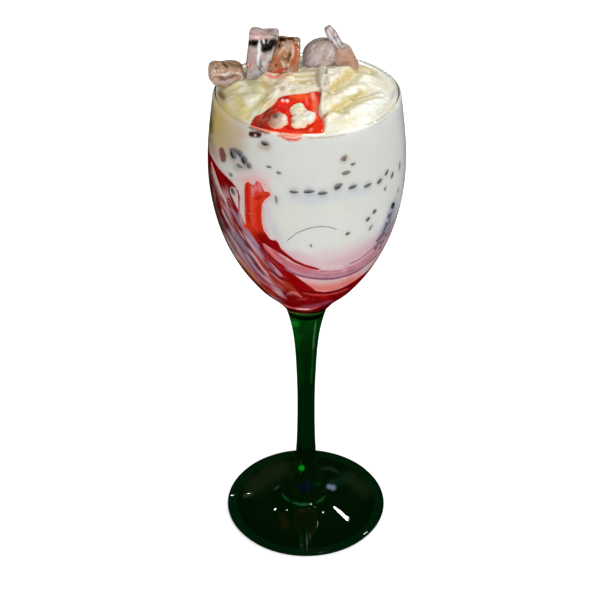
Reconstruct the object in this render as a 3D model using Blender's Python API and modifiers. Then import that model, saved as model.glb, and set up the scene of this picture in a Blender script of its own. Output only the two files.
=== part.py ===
"""Falooda in a stemmed glass: clear bowl, green stem, rose syrup, milk, ice cream and ice.

Sizes below are in millimetres. X runs to the right, Y to the back and Z up. The glass stands on
its foot ring at Z = 0, with its axis on the Z axis. Angles round the glass are in degrees from the
front, growing towards the right.
"""
import math
import random

import bmesh
import bpy
from mathutils import Euler, Matrix, Vector

MM = 0.001
GAP = 0.3                      # clear space between pieces that touch

# Glass
RIM_HEIGHT = 180.0
WALL = 1.4
JOINT_HEIGHT = 93.0            # where the clear bowl stands on the green stem
BOWL_OUTSIDE = [               # radius, height
    (31.0, RIM_HEIGHT), (33.2, 162), (33.3, 147), (30.6, 132), (25.5, 119), (18.6, 108),
    (12.1, 101), (7.9, 95.5), (7.0, JOINT_HEIGHT + GAP)]
BOWL_FLOOR = [(5.2, 97.2), (0, 96.2)]
STEM_OUTSIDE = [
    (6.9, JOINT_HEIGHT), (5.0, 84), (3.9, 72), (3.3, 52), (3.7, 30), (5.2, 14), (9.5, 8),
    (18, 4.4), (30.5, 1.6)]
FOOT_EDGE = [(31, 0.9), (30.4, 0), (27, 0), (24, 0.9), (12, 1.6), (0, 1.8)]
GLASS_STEPS = 48
STEM_STEPS = 40

# Filling
POOL_LEVEL = 114.0             # rose syrup that settled in the bottom of the bowl
SHEET_AT_POOL = 3.0            # thickness of the syrup that clings to the wall
SHEET_AT_EDGE = 1.6
SYRUP_EDGE = [                 # angle, height of the syrup's upper edge on the wall
    (-180, 116), (-150, 128), (-125, 144), (-100, 158), (-74, 163), (-56, 159), (-40, 156),
    (-35, 162), (-26, 162), (-22, 144), (-14, 137), (-5, 126), (7, 117.5), (36, 116), (54, 120),
    (90, 123), (130, 118), (180, 116)]
MILK_TOP = 174.0
MILK_GAP = 0.6                 # between milk and syrup, whose facets cross where the edge is steep
CREAM_EDGE = 179.4             # where the ice cream meets the glass, just under the rim
CREAM_RISE = 6.4               # how far its middle stands above that
CREAM_RADIUS = 29.3
FILLING_STEPS = 52
CREAM_STEPS = 56

# Syrup poured on the ice cream: a pool that slopes down to the rim at the front
SLOPE = 0.18
SLOPE_FOOT = (-29.0, 180.0)    # y and height of the slope's lower end
TOPPING_DEPTH = 2.0
TOPPING_OUTLINE = [
    (-18, -25), (-17, -21), (-14.1, -18), (-10.7, -13.9), (-8.3, -11.2), (-2, -9.7), (3.8, -8.7),
    (4.3, -11.5), (3.9, -18.5), (5.6, -23.3), (4.9, -28.8), (-1.3, -31), (-7, -31), (-14, -29)]
CREAM_LUMPS = [                # centre x, y and radii of the lumps that stand out of the syrup
    (-2.9, -18.3, 2.6, 3.5, 2.0), (0.5, -22.2, 2.2, 3.3, 1.9), (-2.5, -24.8, 2.8, 3.4, 1.9),
    (-9.0, -23.6, 2.2, 3.8, 1.8)]

# Ice: centre; left and right side at the bottom, then at the top; depth and height; turn in
# degrees; edge rounding
ICE = {
    "ice_slab_left": ((-27.0, 4.5, 184.3), (-5.0, 5.2), (-5.4, 5.0), 8.6, 6.6, (0, 4, 8), 2.3),
    "ice_cube_tall": ((-15.0, 6.0, 190.4), (-4.6, 1.2), (-4.3, 4.9), 8.4, 15.4, (-4, 5, 0), 0.7),
    "ice_cube_middle": ((-8.0, 5.0, 190.2), (-5.2, 5.0), (-1.3, 5.6), 7.6, 11.4, (-4, 0, 0), 1.1),
    "ice_dome": ((3.6, 10.4, 188.6), (-5.6, 5.5), (-3.6, 5.2), 10.4, 9.6, (0, 0, 6), 3.4),
    "ice_wedge": ((13.6, 11.6, 186.8), (-3.9, 4.4), (-3.9, 2.4), 7.6, 6.4, (0, 26, -6), 1.2),
    "ice_shard": ((9.4, 10.8, 194.8), (-1.9, 1.5), (-0.9, 1.3), 2.8, 8.4, (0, -34, 0), 0.5),
    "ice_sliver": ((5.4, -3.6, 186.0), (-1.9, 1.9), (-1.6, 1.5), 12.6, 3.0, (7, 0, 6), 0.9),
}
ICE_WANDER = 0.25              # how far each corner of an ice piece is off
COLOURS = {                    # base colour, roughness and transmission
    "glass_bowl": ((0.92, 0.95, 0.95), 0.03, 1.0),
    "green_stem_foot": ((0.01, 0.10, 0.02), 0.04, 0.9),
    "rose_syrup": ((0.55, 0.01, 0.02), 0.15, 0.0),
    "falooda_milk": ((0.78, 0.76, 0.72), 0.30, 0.0),
    "ice_cream": ((0.86, 0.82, 0.62), 0.45, 0.0),
    "syrup_topping": ((0.75, 0.06, 0.02), 0.10, 0.0),
    "ice": ((0.80, 0.72, 0.66), 0.08, 0.9),
}


def clear_scene():
    for old in list(bpy.data.objects):
        bpy.data.objects.remove(old, do_unlink=True)


def new_collection(name):
    group = bpy.data.collections.new(name)
    bpy.context.scene.collection.children.link(group)
    return group


def material(key):
    """A Principled material for one kind of piece, made once."""
    if key in bpy.data.materials:
        return bpy.data.materials[key]
    colour, roughness, transmission = COLOURS[key]
    made = bpy.data.materials.new(key)
    made.use_nodes = True
    shader = made.node_tree.nodes["Principled BSDF"]
    shader.inputs["Base Color"].default_value = (*colour, 1)
    shader.inputs["Roughness"].default_value = roughness
    shader.inputs["Transmission Weight"].default_value = transmission
    made.diffuse_color = (*colour, 1)
    return made


def add_object(name, mesh, group, look=None):
    piece = bpy.data.objects.new(name, mesh)
    group.objects.link(piece)
    if look:
        mesh.materials.append(material(look))
    return piece


def make_cutter(piece):
    piece.hide_render = True
    piece.display_type = "WIRE"
    return piece


# Outlines

def smooth_curve(points, pieces=3):
    """Catmull-Rom curve through the points, with the ends kept."""
    ends = [points[0]] + list(points) + [points[-1]]
    made = []
    for before, start, end, after in zip(ends, ends[1:], ends[2:], ends[3:]):
        for step in range(pieces):
            t = step / pieces
            made.append(tuple(
                0.5 * (2 * b + (c - a) * t + (2 * a - 5 * b + 4 * c - d) * t ** 2
                       + (3 * b - a - 3 * c + d) * t ** 3)
                for a, b, c, d in zip(before, start, end, after)))
    return made + [tuple(points[-1])]


def inset(outline, distance):
    """Move each point of a downward outline towards the axis, square to the outline."""
    made = []
    for i, (radius, height) in enumerate(outline):
        ahead = outline[min(i + 1, len(outline) - 1)]
        behind = outline[max(i - 1, 0)]
        along = Vector((ahead[0] - behind[0], ahead[1] - behind[1])).normalized()
        made.append((max(radius + along.y * distance, 0), height - along.x * distance))
    return made


BOWL_INSIDE = [(r, min(z, RIM_HEIGHT)) for r, z in inset(BOWL_OUTSIDE, WALL)[:7]] + BOWL_FLOOR
FILLING_WALL = smooth_curve(inset(BOWL_INSIDE, GAP), 8)


def between(table, x):
    """Height at x in a table of (x, height) pairs that grows in x, eased between its points."""
    for (x0, y0), (x1, y1) in zip(table, table[1:]):
        if x <= x1:
            t = min(max((x - x0) / (x1 - x0), 0), 1)
            return y0 + (y1 - y0) * t * t * (3 - 2 * t)
    return table[-1][1]


def filling_radius(height):
    """Radius at which the filling meets the glass."""
    for (r1, z1), (r0, z0) in zip(FILLING_WALL, FILLING_WALL[1:]):
        if z0 <= height <= z1 and z1 > z0:
            return r0 + (r1 - r0) * (height - z0) / (z1 - z0)
    return FILLING_WALL[0][0] if height > FILLING_WALL[0][1] else 0


# Turned pieces

def turned(name, outline, steps, group, look):
    """Turn an outline that starts on the axis, runs down the outside and ends on the axis."""
    mesh = bpy.data.meshes.new(name)
    points = [(r * MM, 0, z * MM) for r, z in outline]
    mesh.from_pydata(points, [(i, i + 1) for i in range(len(points) - 1)], [])
    piece = add_object(name, mesh, group, look)
    screw = piece.modifiers.new("turn", "SCREW")
    screw.steps = steps
    screw.render_steps = steps
    screw.use_merge_vertices = True
    screw.merge_threshold = 0.00001
    screw.use_smooth_shade = True
    return piece


def turned_uneven(name, outline_at, steps, group, look):
    """Turn an outline that changes with the angle: outline_at(angle) lists radius and height."""
    rows = len(outline_at(0))
    last = rows - 1
    ladder = [(0 if i in (0, last) else 10, -i) for i in range(rows)]
    pattern = turned(name, ladder, steps, group, look)
    shape = bpy.context.evaluated_depsgraph_get()
    mesh = bpy.data.meshes.new_from_object(pattern.evaluated_get(shape))
    bpy.data.objects.remove(pattern)
    outlines = {}
    for vertex in mesh.vertices:
        row = round(-vertex.co.z / MM)
        angle = round(math.degrees(math.atan2(vertex.co.x, -vertex.co.y)), 3)
        if angle not in outlines:
            outlines[angle] = outline_at(angle)
        radius, height = outlines[angle][row]
        turn = math.radians(angle)
        vertex.co = (radius * math.sin(turn) * MM, -radius * math.cos(turn) * MM, height * MM)
    mesh.shade_smooth()
    return add_object(name, mesh, group)


def glass_bowl(group):
    inner = smooth_curve(BOWL_INSIDE, 2)[::-1]
    outer = smooth_curve(BOWL_OUTSIDE, 2)
    middle = (BOWL_OUTSIDE[0][0] + BOWL_INSIDE[0][0]) / 2
    lip = WALL / 2
    turns = [math.radians(a) for a in (180, 135, 90, 45, 0)]
    rim = [(middle + lip * math.cos(a), RIM_HEIGHT - lip + lip * math.sin(a)) for a in turns]
    outline = inner[:-1] + rim + outer[1:] + [(0, JOINT_HEIGHT + GAP)]
    turned("glass_bowl", outline, GLASS_STEPS, group, "glass_bowl")


def green_stem_foot(group):
    outline = [(0, JOINT_HEIGHT)] + smooth_curve(STEM_OUTSIDE, 2) + FOOT_EDGE
    turned("green_stem_foot", outline, STEM_STEPS, group, "green_stem_foot")


# Filling

def sheet_rows(angle, clearance):
    """Inner side of the clinging syrup, from the pool up to its edge."""
    edge = between(SYRUP_EDGE, angle)
    rows = []
    for share in (0, 0.25, 0.5, 0.75, 1):
        height = POOL_LEVEL + clearance + share * (edge - 1.0 - POOL_LEVEL)
        thickness = SHEET_AT_POOL + (SHEET_AT_EDGE - SHEET_AT_POOL) * share
        rows.append((filling_radius(height) - thickness - clearance, height))
    return rows


def wall_rows(top, bottom, count):
    heights = [top + (bottom - top) * i / (count - 1) for i in range(count)]
    return [(filling_radius(z), z) for z in heights]


def rose_syrup(group):
    def outline(angle):
        edge = between(SYRUP_EDGE, angle)
        inner = sheet_rows(angle, 0)
        crest = [(filling_radius(edge) - SHEET_AT_EDGE / 2, edge)]
        wall = wall_rows(edge - 0.6, POOL_LEVEL, 6) + wall_rows(109, 98, 5)
        return ([(0, POOL_LEVEL), (inner[0][0] * 0.5, POOL_LEVEL)] + inner + crest + wall
                + [(0, BOWL_FLOOR[-1][1] + 2 * GAP)])
    turned_uneven("rose_syrup", outline, FILLING_STEPS, group, "rose_syrup")


def falooda_milk(group):
    def outline(angle):
        edge = max(between(SYRUP_EDGE, angle + turn) for turn in (-1, 0, 1)) + MILK_GAP
        inner = sheet_rows(angle, MILK_GAP)
        crest = [(filling_radius(edge) - SHEET_AT_EDGE / 2, edge)]
        top = [(0, MILK_TOP), (filling_radius(MILK_TOP) / 2, MILK_TOP)]
        wall = wall_rows(MILK_TOP, edge + 0.2, 7)
        floor = POOL_LEVEL + MILK_GAP
        return top + wall + crest + inner[::-1] + [(inner[0][0] / 2, floor), (0, floor)]
    turned_uneven("falooda_milk", outline, FILLING_STEPS, group, "falooda_milk")


def fold(x, y, start, end, width, depth):
    """A groove along a straight line, deepest on the line and fading at its ends."""
    along = Vector((end[0] - start[0], end[1] - start[1]))
    share = Vector((x - start[0], y - start[1])).dot(along) / along.length_squared
    nearest = Vector(start) + along * min(max(share, 0), 1)
    distance = (Vector((x, y)) - nearest).length
    return -depth * math.exp(-(distance / width) ** 2)


def cream_height(x, y):
    """Top of the ice cream: a heap, with a scoop's folds on the right and lumps on the left."""
    spread = min(math.hypot(x, y) / CREAM_RADIUS, 1)
    height = CREAM_EDGE + CREAM_RISE * (1 - spread ** 2.2)
    fade = 1 - spread ** 6
    folds = (fold(x, y, (8, -9), (21, 12), 2.0, 1.5) + fold(x, y, (10, -18), (22, -3), 1.8, 1.1)
             + fold(x, y, (27, -9), (21, -18), 1.6, 0.8))
    lumps = 0.0
    if x < -4:
        lumps = 0.8 * math.sin(x * 0.62 + y * 0.2) * math.cos(y * 0.5 - x * 0.15)
    return height + (folds + lumps) * fade


def cream_body(group):
    edges = (0, 3, 6, 9, 12, 15, 18, 20.5, 23, 25.2, 27.2, 28.6, CREAM_RADIUS)

    def outline(angle):
        turn = math.radians(angle)
        top = [(r, cream_height(r * math.sin(turn), -r * math.cos(turn))) for r in edges]
        floor = MILK_TOP + GAP
        side = [(filling_radius(177), 177), (filling_radius(floor), floor)]
        return top + side + [(15, floor), (0, floor)]
    return turned_uneven("ice_cream", outline, CREAM_STEPS, group, "ice_cream")


def slope_height(y):
    return SLOPE_FOOT[1] + SLOPE * (y - SLOPE_FOOT[0])


def grown_outline(points, distance, reach):
    """Move a counter-clockwise or clockwise outline outwards, kept within a reach of the axis."""
    area = sum(a[0] * b[1] - b[0] * a[1] for a, b in zip(points, points[1:] + points[:1]))
    side = 1 if area > 0 else -1
    made = []
    for i, point in enumerate(points):
        ahead = points[(i + 1) % len(points)]
        behind = points[i - 1]
        along = Vector((ahead[0] - behind[0], ahead[1] - behind[1])).normalized() * side
        moved = Vector(point) + Vector((along.y, -along.x)) * distance
        if moved.length > reach:
            moved *= reach / moved.length
        made.append((moved.x, moved.y))
    return made


def topping_slab(name, distance, reach, low, high, group):
    """The topping's outline as a slab that follows the slope, from low to high above it."""
    rounded = smooth_curve(TOPPING_OUTLINE + TOPPING_OUTLINE[:1], 3)[:-1]
    outline = grown_outline(rounded, distance, reach)
    curve = bpy.data.curves.new(name, "CURVE")
    curve.dimensions = "2D"
    curve.fill_mode = "BOTH"
    curve.extrude = (high - low) / 2 * MM
    line = curve.splines.new("POLY")
    line.points.add(len(outline) - 1)
    line.use_cyclic_u = True
    for point, (x, y) in zip(line.points, outline):
        point.co = (x * MM, y * MM, 0, 1)
    flat = bpy.data.objects.new(name, curve)
    group.objects.link(flat)
    shape = bpy.context.evaluated_depsgraph_get()
    mesh = bpy.data.meshes.new_from_object(flat.evaluated_get(shape))
    bpy.data.objects.remove(flat)
    work = bmesh.new()
    work.from_mesh(mesh)
    bmesh.ops.remove_doubles(work, verts=work.verts, dist=0.00001)
    bmesh.ops.recalc_face_normals(work, faces=work.faces)
    for vertex in work.verts:
        vertex.co.z += (slope_height(vertex.co.y / MM) + (low + high) / 2) * MM
    work.to_mesh(mesh)
    work.free()
    return add_object(name, mesh, group)


def lump(name, sizes, grow, group):
    x, y, rx, ry, rz = sizes
    mesh = bpy.data.meshes.new(name)
    work = bmesh.new()
    bmesh.ops.create_uvsphere(work, u_segments=14, v_segments=8, radius=1)
    scale = Vector((rx + grow, ry + grow, rz + grow)) * MM
    bmesh.ops.scale(work, vec=scale, verts=work.verts)
    bmesh.ops.translate(work, vec=Vector((x, y, slope_height(y) - 0.4)) * MM, verts=work.verts)
    work.to_mesh(mesh)
    work.free()
    return add_object(name, mesh, group)


def boolean(piece, other, operation):
    cut = piece.modifiers.new(f"{operation.lower()} {other.name}", "BOOLEAN")
    cut.operation = operation
    cut.solver = "EXACT"
    cut.object = other


# Ice

def ice_block(name, key, grow, group, look=None):
    """A six-sided block with slightly wandering corners and rounded edges, turned in place."""
    centre, bottom, top, depth, height, turn, rounding = ICE[key]
    dice = random.Random(key)
    mesh = bpy.data.meshes.new(name)
    work = bmesh.new()
    bmesh.ops.create_cube(work, size=2)
    for vertex in work.verts:
        right, back, up = vertex.co
        sides = top if up > 0 else bottom
        corner = Vector((sides[right > 0], back * depth / 2, up * height / 2))
        wander = Vector([dice.uniform(-ICE_WANDER, ICE_WANDER) for _ in range(3)])
        vertex.co = (corner + wander + Vector((right, back, up)) * grow) * MM
    turned_by = Euler([math.radians(a) for a in turn]).to_matrix().to_4x4()
    placed = Matrix.Translation(Vector(centre) * MM) @ turned_by
    bmesh.ops.transform(work, matrix=placed, verts=work.verts)
    work.to_mesh(mesh)
    work.free()
    piece = add_object(name, mesh, group, look)
    bevel = piece.modifiers.new("soft edges", "BEVEL")
    bevel.width = (rounding + grow / 2) * MM
    bevel.segments = 2
    bevel.limit_method = "NONE"
    mesh.shade_smooth()
    return piece


def main():
    clear_scene()
    parts = new_collection("falooda")
    cutters = new_collection("cutters")
    glass_bowl(parts)
    green_stem_foot(parts)
    rose_syrup(parts)
    falooda_milk(parts)

    cream = cream_body(parts)
    topping = topping_slab("syrup_topping", 0, CREAM_RADIUS, -TOPPING_DEPTH, 0, parts)
    topping.data.materials.append(material("syrup_topping"))
    hollow = make_cutter(topping_slab(
        "topping_hollow", GAP, CREAM_RADIUS + 3, -TOPPING_DEPTH - GAP, 9, cutters))
    boolean(cream, hollow, "DIFFERENCE")
    for number, sizes in enumerate(CREAM_LUMPS, 1):
        solid = make_cutter(lump(f"lump_{number}", sizes, 0, cutters))
        room = make_cutter(lump(f"lump_room_{number}", sizes, GAP, cutters))
        boolean(cream, solid, "UNION")
        boolean(topping, room, "DIFFERENCE")
    for key in ICE:
        ice_block(key, key, 0, parts, "ice")
        room = make_cutter(ice_block(f"{key}_room", key, GAP, cutters))
        boolean(cream, room, "DIFFERENCE")


main()
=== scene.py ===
"""Looks of the falooda: glass, milk, rose syrup, noodles, seeds, ice cream, topping and ice.

Sizes are in millimetres, in the frame of the CAD model: X to the right, Y to the back, Z up, and
the glass's axis on the Z axis. A place read from the photograph is a pixel of its 600 x 600 frame,
which on_wall() puts on the glass wall. Marks are painted the other way round: project() and
wall_pixels() give the pixel of each point of a mesh. Angles round the glass are in degrees from the
front, growing towards the right. Colours are 8-bit display colours.
"""
import math
import random

import bmesh
import bpy
import numpy as np
from mathutils import Euler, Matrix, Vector, kdtree


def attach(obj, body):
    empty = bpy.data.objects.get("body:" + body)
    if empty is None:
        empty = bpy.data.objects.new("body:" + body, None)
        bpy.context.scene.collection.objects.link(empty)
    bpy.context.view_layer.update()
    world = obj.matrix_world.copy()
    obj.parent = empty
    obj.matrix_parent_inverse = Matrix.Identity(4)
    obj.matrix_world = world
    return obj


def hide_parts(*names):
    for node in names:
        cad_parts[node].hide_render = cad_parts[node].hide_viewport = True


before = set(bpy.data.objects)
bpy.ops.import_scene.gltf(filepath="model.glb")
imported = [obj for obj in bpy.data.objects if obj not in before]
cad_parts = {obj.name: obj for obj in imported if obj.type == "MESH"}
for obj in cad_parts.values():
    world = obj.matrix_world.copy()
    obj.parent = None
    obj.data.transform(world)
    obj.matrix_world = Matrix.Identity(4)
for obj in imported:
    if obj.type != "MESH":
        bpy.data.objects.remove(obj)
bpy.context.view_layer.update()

MM = 0.001

# Camera
FOCAL = 1450.0                 # in pixels of the 600 pixel frame
CENTRE_X, CENTRE_Y = 307.7, 300.0
TILT = math.radians(34.0)
CAMERA = np.array([0, -433.8, 389.8])
SENSOR = 36.0
FRAME = 600
SIGHT_STEP = 0.1               # between the points tried along a line of sight

# Lamps: place and size in m, power in W, and whether the glass reflects them
LAMPS = {
    "key": ((0.75, -1.3, 0.62), 1.0, 0.8, 14, False),
    "fill": ((-1.1, -1.1, 0.5), 1.1, 0.9, 8, False),
    "top": ((0.3, 0.1, 1.7), 1.2, 1.2, 4, False),
    "right": ((1.4, -0.5, 0.5), 0.8, 0.8, 2, False),
    "sparkle": ((0.35, -0.5, 1.4), 0.12, 0.12, 1.0, True),
    "glint_right": ((0.42, 0.5, 0.9), 0.20, 0.045, 3.0, True),
}
LAMP_AIM = (0, 0, 0.12)
WORLD_COLOUR = (0.95, 0.97, 1, 1)
WORLD_STRENGTH = 0.34

# Glass
RIM_HEIGHT = 180.0
WALL = 1.4
GLASS_IOR = 1.3
JOINT_HEIGHT = 93.0
BOWL_OUTSIDE = [
    (31.0, RIM_HEIGHT), (33.2, 162), (33.3, 147), (30.6, 132), (25.5, 119), (18.6, 108),
    (12.1, 101), (7.9, 95.5), (7.0, JOINT_HEIGHT)]
WALL_POINTS = 7                # of the outside's points that the inside follows, above its floor
BOWL_FLOOR = [(5.2, 97.2), (0, 96.2)]
THICK_HEIGHT = 112             # below it the bowl's outside is finely divided and painted
BOWL_COLUMNS = 384
FUSED = 0.03                   # how far the stem's top reaches into the bowl's glass
STEM_OUTSIDE = [
    (6.9, JOINT_HEIGHT), (5.0, 84), (3.9, 72), (3.3, 52), (3.7, 30), (5.2, 14), (9.5, 8),
    (18, 4.4), (30.5, 1.6)]
FOOT_EDGE = [(31, 0.9), (30.4, 0), (27, 0), (24, 0.9), (12, 1.6), (0, 1.8)]
FOOT_TOP = 14
STEM_COLUMNS = 300

# Colour of the glass by height; the green and dark red low in the bowl are painted reflections of the stem
# and the syrup in the thick glass
BOWL_RAMP = [
    (92, (6, 90, 16)), (96.5, (6, 90, 16)), (96.7, (120, 14, 12)), (98.4, (150, 20, 18)),
    (100, (255, 255, 255)), (102, (255, 255, 255))]
STEM_RAMP = [
    (0, (0, 7, 2)), (2.4, (0, 10, 2)), (4, (1, 24, 4)), (56, (1, 22, 4)), (76, (1, 30, 5)),
    (94, (3, 70, 14))]
DARK_GREEN = (0, 14, 2)        # patches in the green glass

# Faint painted glow, shone as emission, all over the green glass and round the lip, where it grows between
# two heights
LIP_LIT = (178.9, 179.4)
LIP_GLOW = (84, 82, 66)
STEM_GLOW = (2, 11, 1)

# Pixels of the foot that mirror small lamps, and the lamps' sizes in m
FOOT_GLINTS = [
    (277, 509, 0.022), (289, 510, 0.018), (297, 507, 0.008), (317, 507, 0.018), (325, 512, 0.022),
    (309, 502, 0.010), (250, 494, 0.005)]
GLINT_POWER = 200              # in W for each square metre of lamp
GLINT_DISTANCE = 900           # from the foot to each of these lamps

# Painted highlights and reflections that the glass shines as emission: half width in pixels, colour,
# strength and pixels
LIP_LIGHTS = [
    (0.8, (214, 160, 120), 0.55, [(249, 124), (256, 127.2), (264, 129.8), (272, 132)]),
    (1.2, (226, 206, 170), 0.80, [(271, 132.2), (278, 133)]),
    (0.8, (206, 130, 90), 0.60, [(284, 134), (296, 135.3), (306, 135)]),
    (1.0, (210, 170, 160), 0.70, [(306, 135), (316, 135.2), (325, 134.2)]),
    (1.0, (120, 112, 60), 0.50, [(333, 133.6), (339, 132.2)]),
    (1.0, (214, 214, 214), 0.80, [(341, 132), (350, 130), (360, 127.6), (368, 125.6)]),
]
# painted reflections and glints in the thick glass at the bowl's bottom
JOINT_LIGHTS = [
    (0.8, (186, 84, 84), 0.80, [(284, 304.5), (291, 307.3), (298, 308.8), (313, 309), (322, 305.8)]),
    (0.8, (220, 164, 176), 0.90, [(298, 308.8), (306, 309.4), (312, 309)]),
    (1.6, (84, 48, 76), 0.80, [(302, 306.6), (314, 306.4), (324, 304), (334, 300.5)]),
    (0.6, (70, 50, 24), 0.80, [(289, 311.6), (296, 313), (303, 313.9), (312, 314)]),
    (1.1, (226, 108, 106), 0.90, [(306.9, 295.8), (306.4, 298.6)]),
    (1.0, (236, 140, 130), 0.90, [(314.4, 292.6), (312.8, 295.4)]),
    (0.8, (110, 60, 100), 0.60, [(287, 292), (291, 294.5), (296, 293.5)]),
]
# painted reflections and glints on the stem and the foot
STEM_LIGHTS = [
    (1.8, (66, 176, 66), 0.90, [(305.6, 317)]),
    (1.4, (10, 66, 12), 0.80, [(296, 318), (303, 317.4), (313, 317.4)]),
    (2.8, (14, 104, 20), 0.80, [(293.5, 323), (297.5, 324)]),
    (3.4, (3, 60, 5), 0.70, [(296, 328), (298.4, 338), (300, 348)]),
    (2.4, (1, 34, 3), 0.70, [(300, 348), (301, 366), (302, 388)]),
    (0.8, (100, 150, 110), 0.60, [(290, 319.5), (291.6, 325), (293, 331)]),
    (0.8, (54, 104, 62), 0.80, [(317.2, 321), (316.6, 328), (315.4, 338), (314.6, 350)]),
    (0.8, (16, 76, 20), 0.70, [(314.6, 350), (313.8, 366), (312.8, 384)]),
    (2.4, (12, 190, 30), 0.95, [(303.3, 468)]),
    (1.2, (8, 56, 10), 0.60, [(302.8, 460), (303, 474)]),
    (4.6, (2, 2, 22), 0.90, [(299, 484), (306, 489), (316, 486)]),
    (1.8, (8, 10, 46), 0.80, [(309.5, 480), (309.5, 492)]),
    (1.0, (20, 80, 34), 0.75, [(284, 494), (288, 498.6), (292, 501)]),
    (1.0, (28, 96, 50), 0.75, [(295, 502.6), (303, 504.6), (312, 504)]),
    (1.0, (20, 80, 34), 0.75, [(318, 502.5), (323, 500), (327, 496)]),
    (1.2, (54, 70, 64), 0.60, [(276, 490), (281, 486)]),
    (2.2, (116, 126, 150), 0.80, [(331, 486.5), (335, 487.5)]),
    (1.6, (32, 40, 34), 0.60, [(322, 469), (332, 468), (342, 473)]),
    (9.0, (26, 32, 18), 0.60, [(256, 486), (272, 474), (284, 468)]),
    (7.0, (22, 32, 16), 0.60, [(352, 478), (366, 490)]),
    (3.6, (26, 16, 6), 0.70, [(284, 517), (288, 526)]),
    (0.9, (8, 44, 10), 0.60, [(303.5, 532), (304, 552)]),
    (0.9, (8, 44, 10), 0.60, [(308.5, 530), (309, 550)]),
    (0.7, (70, 90, 70), 0.60, [(303.8, 544), (304, 547)]),
    (0.7, (70, 90, 70), 0.60, [(308.8, 540), (309, 543)]),
    (1.6, (60, 64, 44), 0.50, [(247, 496), (253, 494)]),
]

# How far each layer reaches into the glass wall, so that no air shows between
MILK_REACH = 0.06
SYRUP_REACH = 0.22
MILK_RIM = 179.2               # where the milk meets the glass, just under the lip
MILK_TOP = [(0.0, 2.0), (0.6, 1.6), (0.9, 0.7), (0.97, 0.25)]    # share of the rim's radius, drop
BOWL_BOTTOM = BOWL_FLOOR[-1][1] - 0.05
SYRUP_TOP = 167.0
SYRUP_BODY = 1.2               # thickness of the syrup's sheet

# Grids on the wall: step in height, and in degrees in front and behind
MILK_GRID = (0.4, 0.6, 1.6)
SYRUP_GRID = (0.36, 0.6, 1.6)
FRONT = 100                    # angle up to which the grids are fine
EDGE_STEP = 0.2                # between the points of an edge that distances are measured to

# Heights on the wall, and the largest angle that the photograph shows there
SEEN = [(105, 46), (113, 53), (122, 62), (135, 71), (150, 76), (165, 80)]
FADE = 26                      # degrees over which the front's painting fades beyond it
MOST_SHIFT = 4.0               # in pixels; a larger shift belongs to a pixel beside the glass

# Colours of the milk
MILK_WHITE = (215, 217, 213)
MILK_WARM = (215, 217, 205)
MILK_PINK = (222, 178, 180)    # low in the glass
MILK_RED = (208, 96, 84)       # on the pool, at the sides and the back
MILK_BLUSH = (226, 160, 160)   # beside the syrup
MILK_SHADOW = (142, 142, 146)  # round the seeds
MILK_SPECKLE = (214, 214, 206)

# Colours of the syrup and of what lies in it
SYRUP_RED = (134, 6, 10)
SYRUP_BRIGHT = (176, 16, 14)
SYRUP_DARK = (96, 2, 8)
SYRUP_STREAK = (96, 6, 14)     # between the noodles round the back
SYRUP_EDGE = (214, 40, 34)
SYRUP_SPECKLE = (120, 4, 8)
STRAND_PALE = (220, 190, 198)
STRAND_DARK = (88, 14, 26)
STRAND_RED = (190, 70, 52)
PLUME_RED = (226, 66, 38)
PLUME_PALE = (222, 110, 108)
PLUME_DARK = (176, 26, 12)
POOL_RED = (116, 2, 6)
POOL_BRIGHT = (160, 14, 12)
MAUVE = (168, 112, 142)
LILAC = (178, 150, 172)
DEEP_RED = (104, 8, 20)
NOODLE_SPECKLE = (150, 90, 110)
SEED_FAINT = (158, 152, 150)
SEED_BODIES = [(140, 124, 114), (132, 130, 134)]
SEED_CORES = [(34, 34, 42), (46, 40, 44), (40, 46, 60)]
SEED_SPECKLE = (30, 28, 34)

# Outline of the rose syrup on the wall: pixels from the left edge over the plume to the right
# edge, then angle and height round the back
SYRUP_FRONT = [
    (210, 152), (213, 158), (217, 164.5), (221.5, 170.5), (227.5, 176.5), (233, 182),
    (236.5, 186.5), (239.5, 191.5), (241, 197), (240.8, 204), (240.6, 211), (243, 217),
    (247.3, 226.5), (246.6, 220), (246, 213), (245.8, 200), (245.5, 190), (246, 184),
    (249, 181.5), (252, 184), (255, 185.5), (257.5, 181), (261, 182.5), (263.5, 187),
    (265.5, 191.5), (270.5, 192), (271.8, 195), (269, 197.5), (266, 200), (263.5, 204),
    (262.7, 213), (263, 222), (265, 230), (268, 235), (271.5, 239.3), (274.5, 240.3),
    (277.7, 240.3), (280.3, 244), (282, 248.3), (288, 253.5), (296, 259.5), (305, 263.8),
    (313, 266.3), (320.5, 268.3), (320, 269.8), (312, 268.4), (303.7, 265.8), (295, 262.2),
    (288.3, 257.7), (282, 253.7), (276, 250.6), (270, 246.6), (265, 243), (268, 247.8),
    (271.8, 251.7), (276, 256.4), (280, 260.5), (285.3, 265.8), (292, 271.2), (298.5, 277),
    (305, 281.6), (311.7, 286.3), (317, 290.5), (325, 291.9), (335, 290.5), (341.7, 288.4),
    (348.3, 285.2), (355, 281.2), (361.7, 276), (367.7, 271.3)]
SYRUP_RIGHT = [(75, 123.5), (100, 122.5), (130, 119), (160, 117), (180, 116.5)]
SYRUP_LEFT = [(-180, 116.5), (-160, 121), (-145, 131), (-125, 144), (-105, 157), (-88, 164)]

# Milk that shows inside the syrup: pixels of outlines, and of lines with their half width
PALE_LOOP = [
    (231, 188), (233, 186.5), (237, 188.5), (239, 194), (239.7, 203), (239.4, 210), (237, 205.5),
    (234, 199), (231.4, 193)]
PALE_LINES = [
    (0.62, [(212.6, 164), (216, 174), (219.5, 184.5), (223, 193.5), (226.5, 201)]),
    (0.16, [(222, 200), (227, 211), (232.5, 222), (238, 233), (244, 243)]),
    (0.14, [(229, 200), (234.5, 211), (240.5, 222), (247, 233)]),
]
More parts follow.
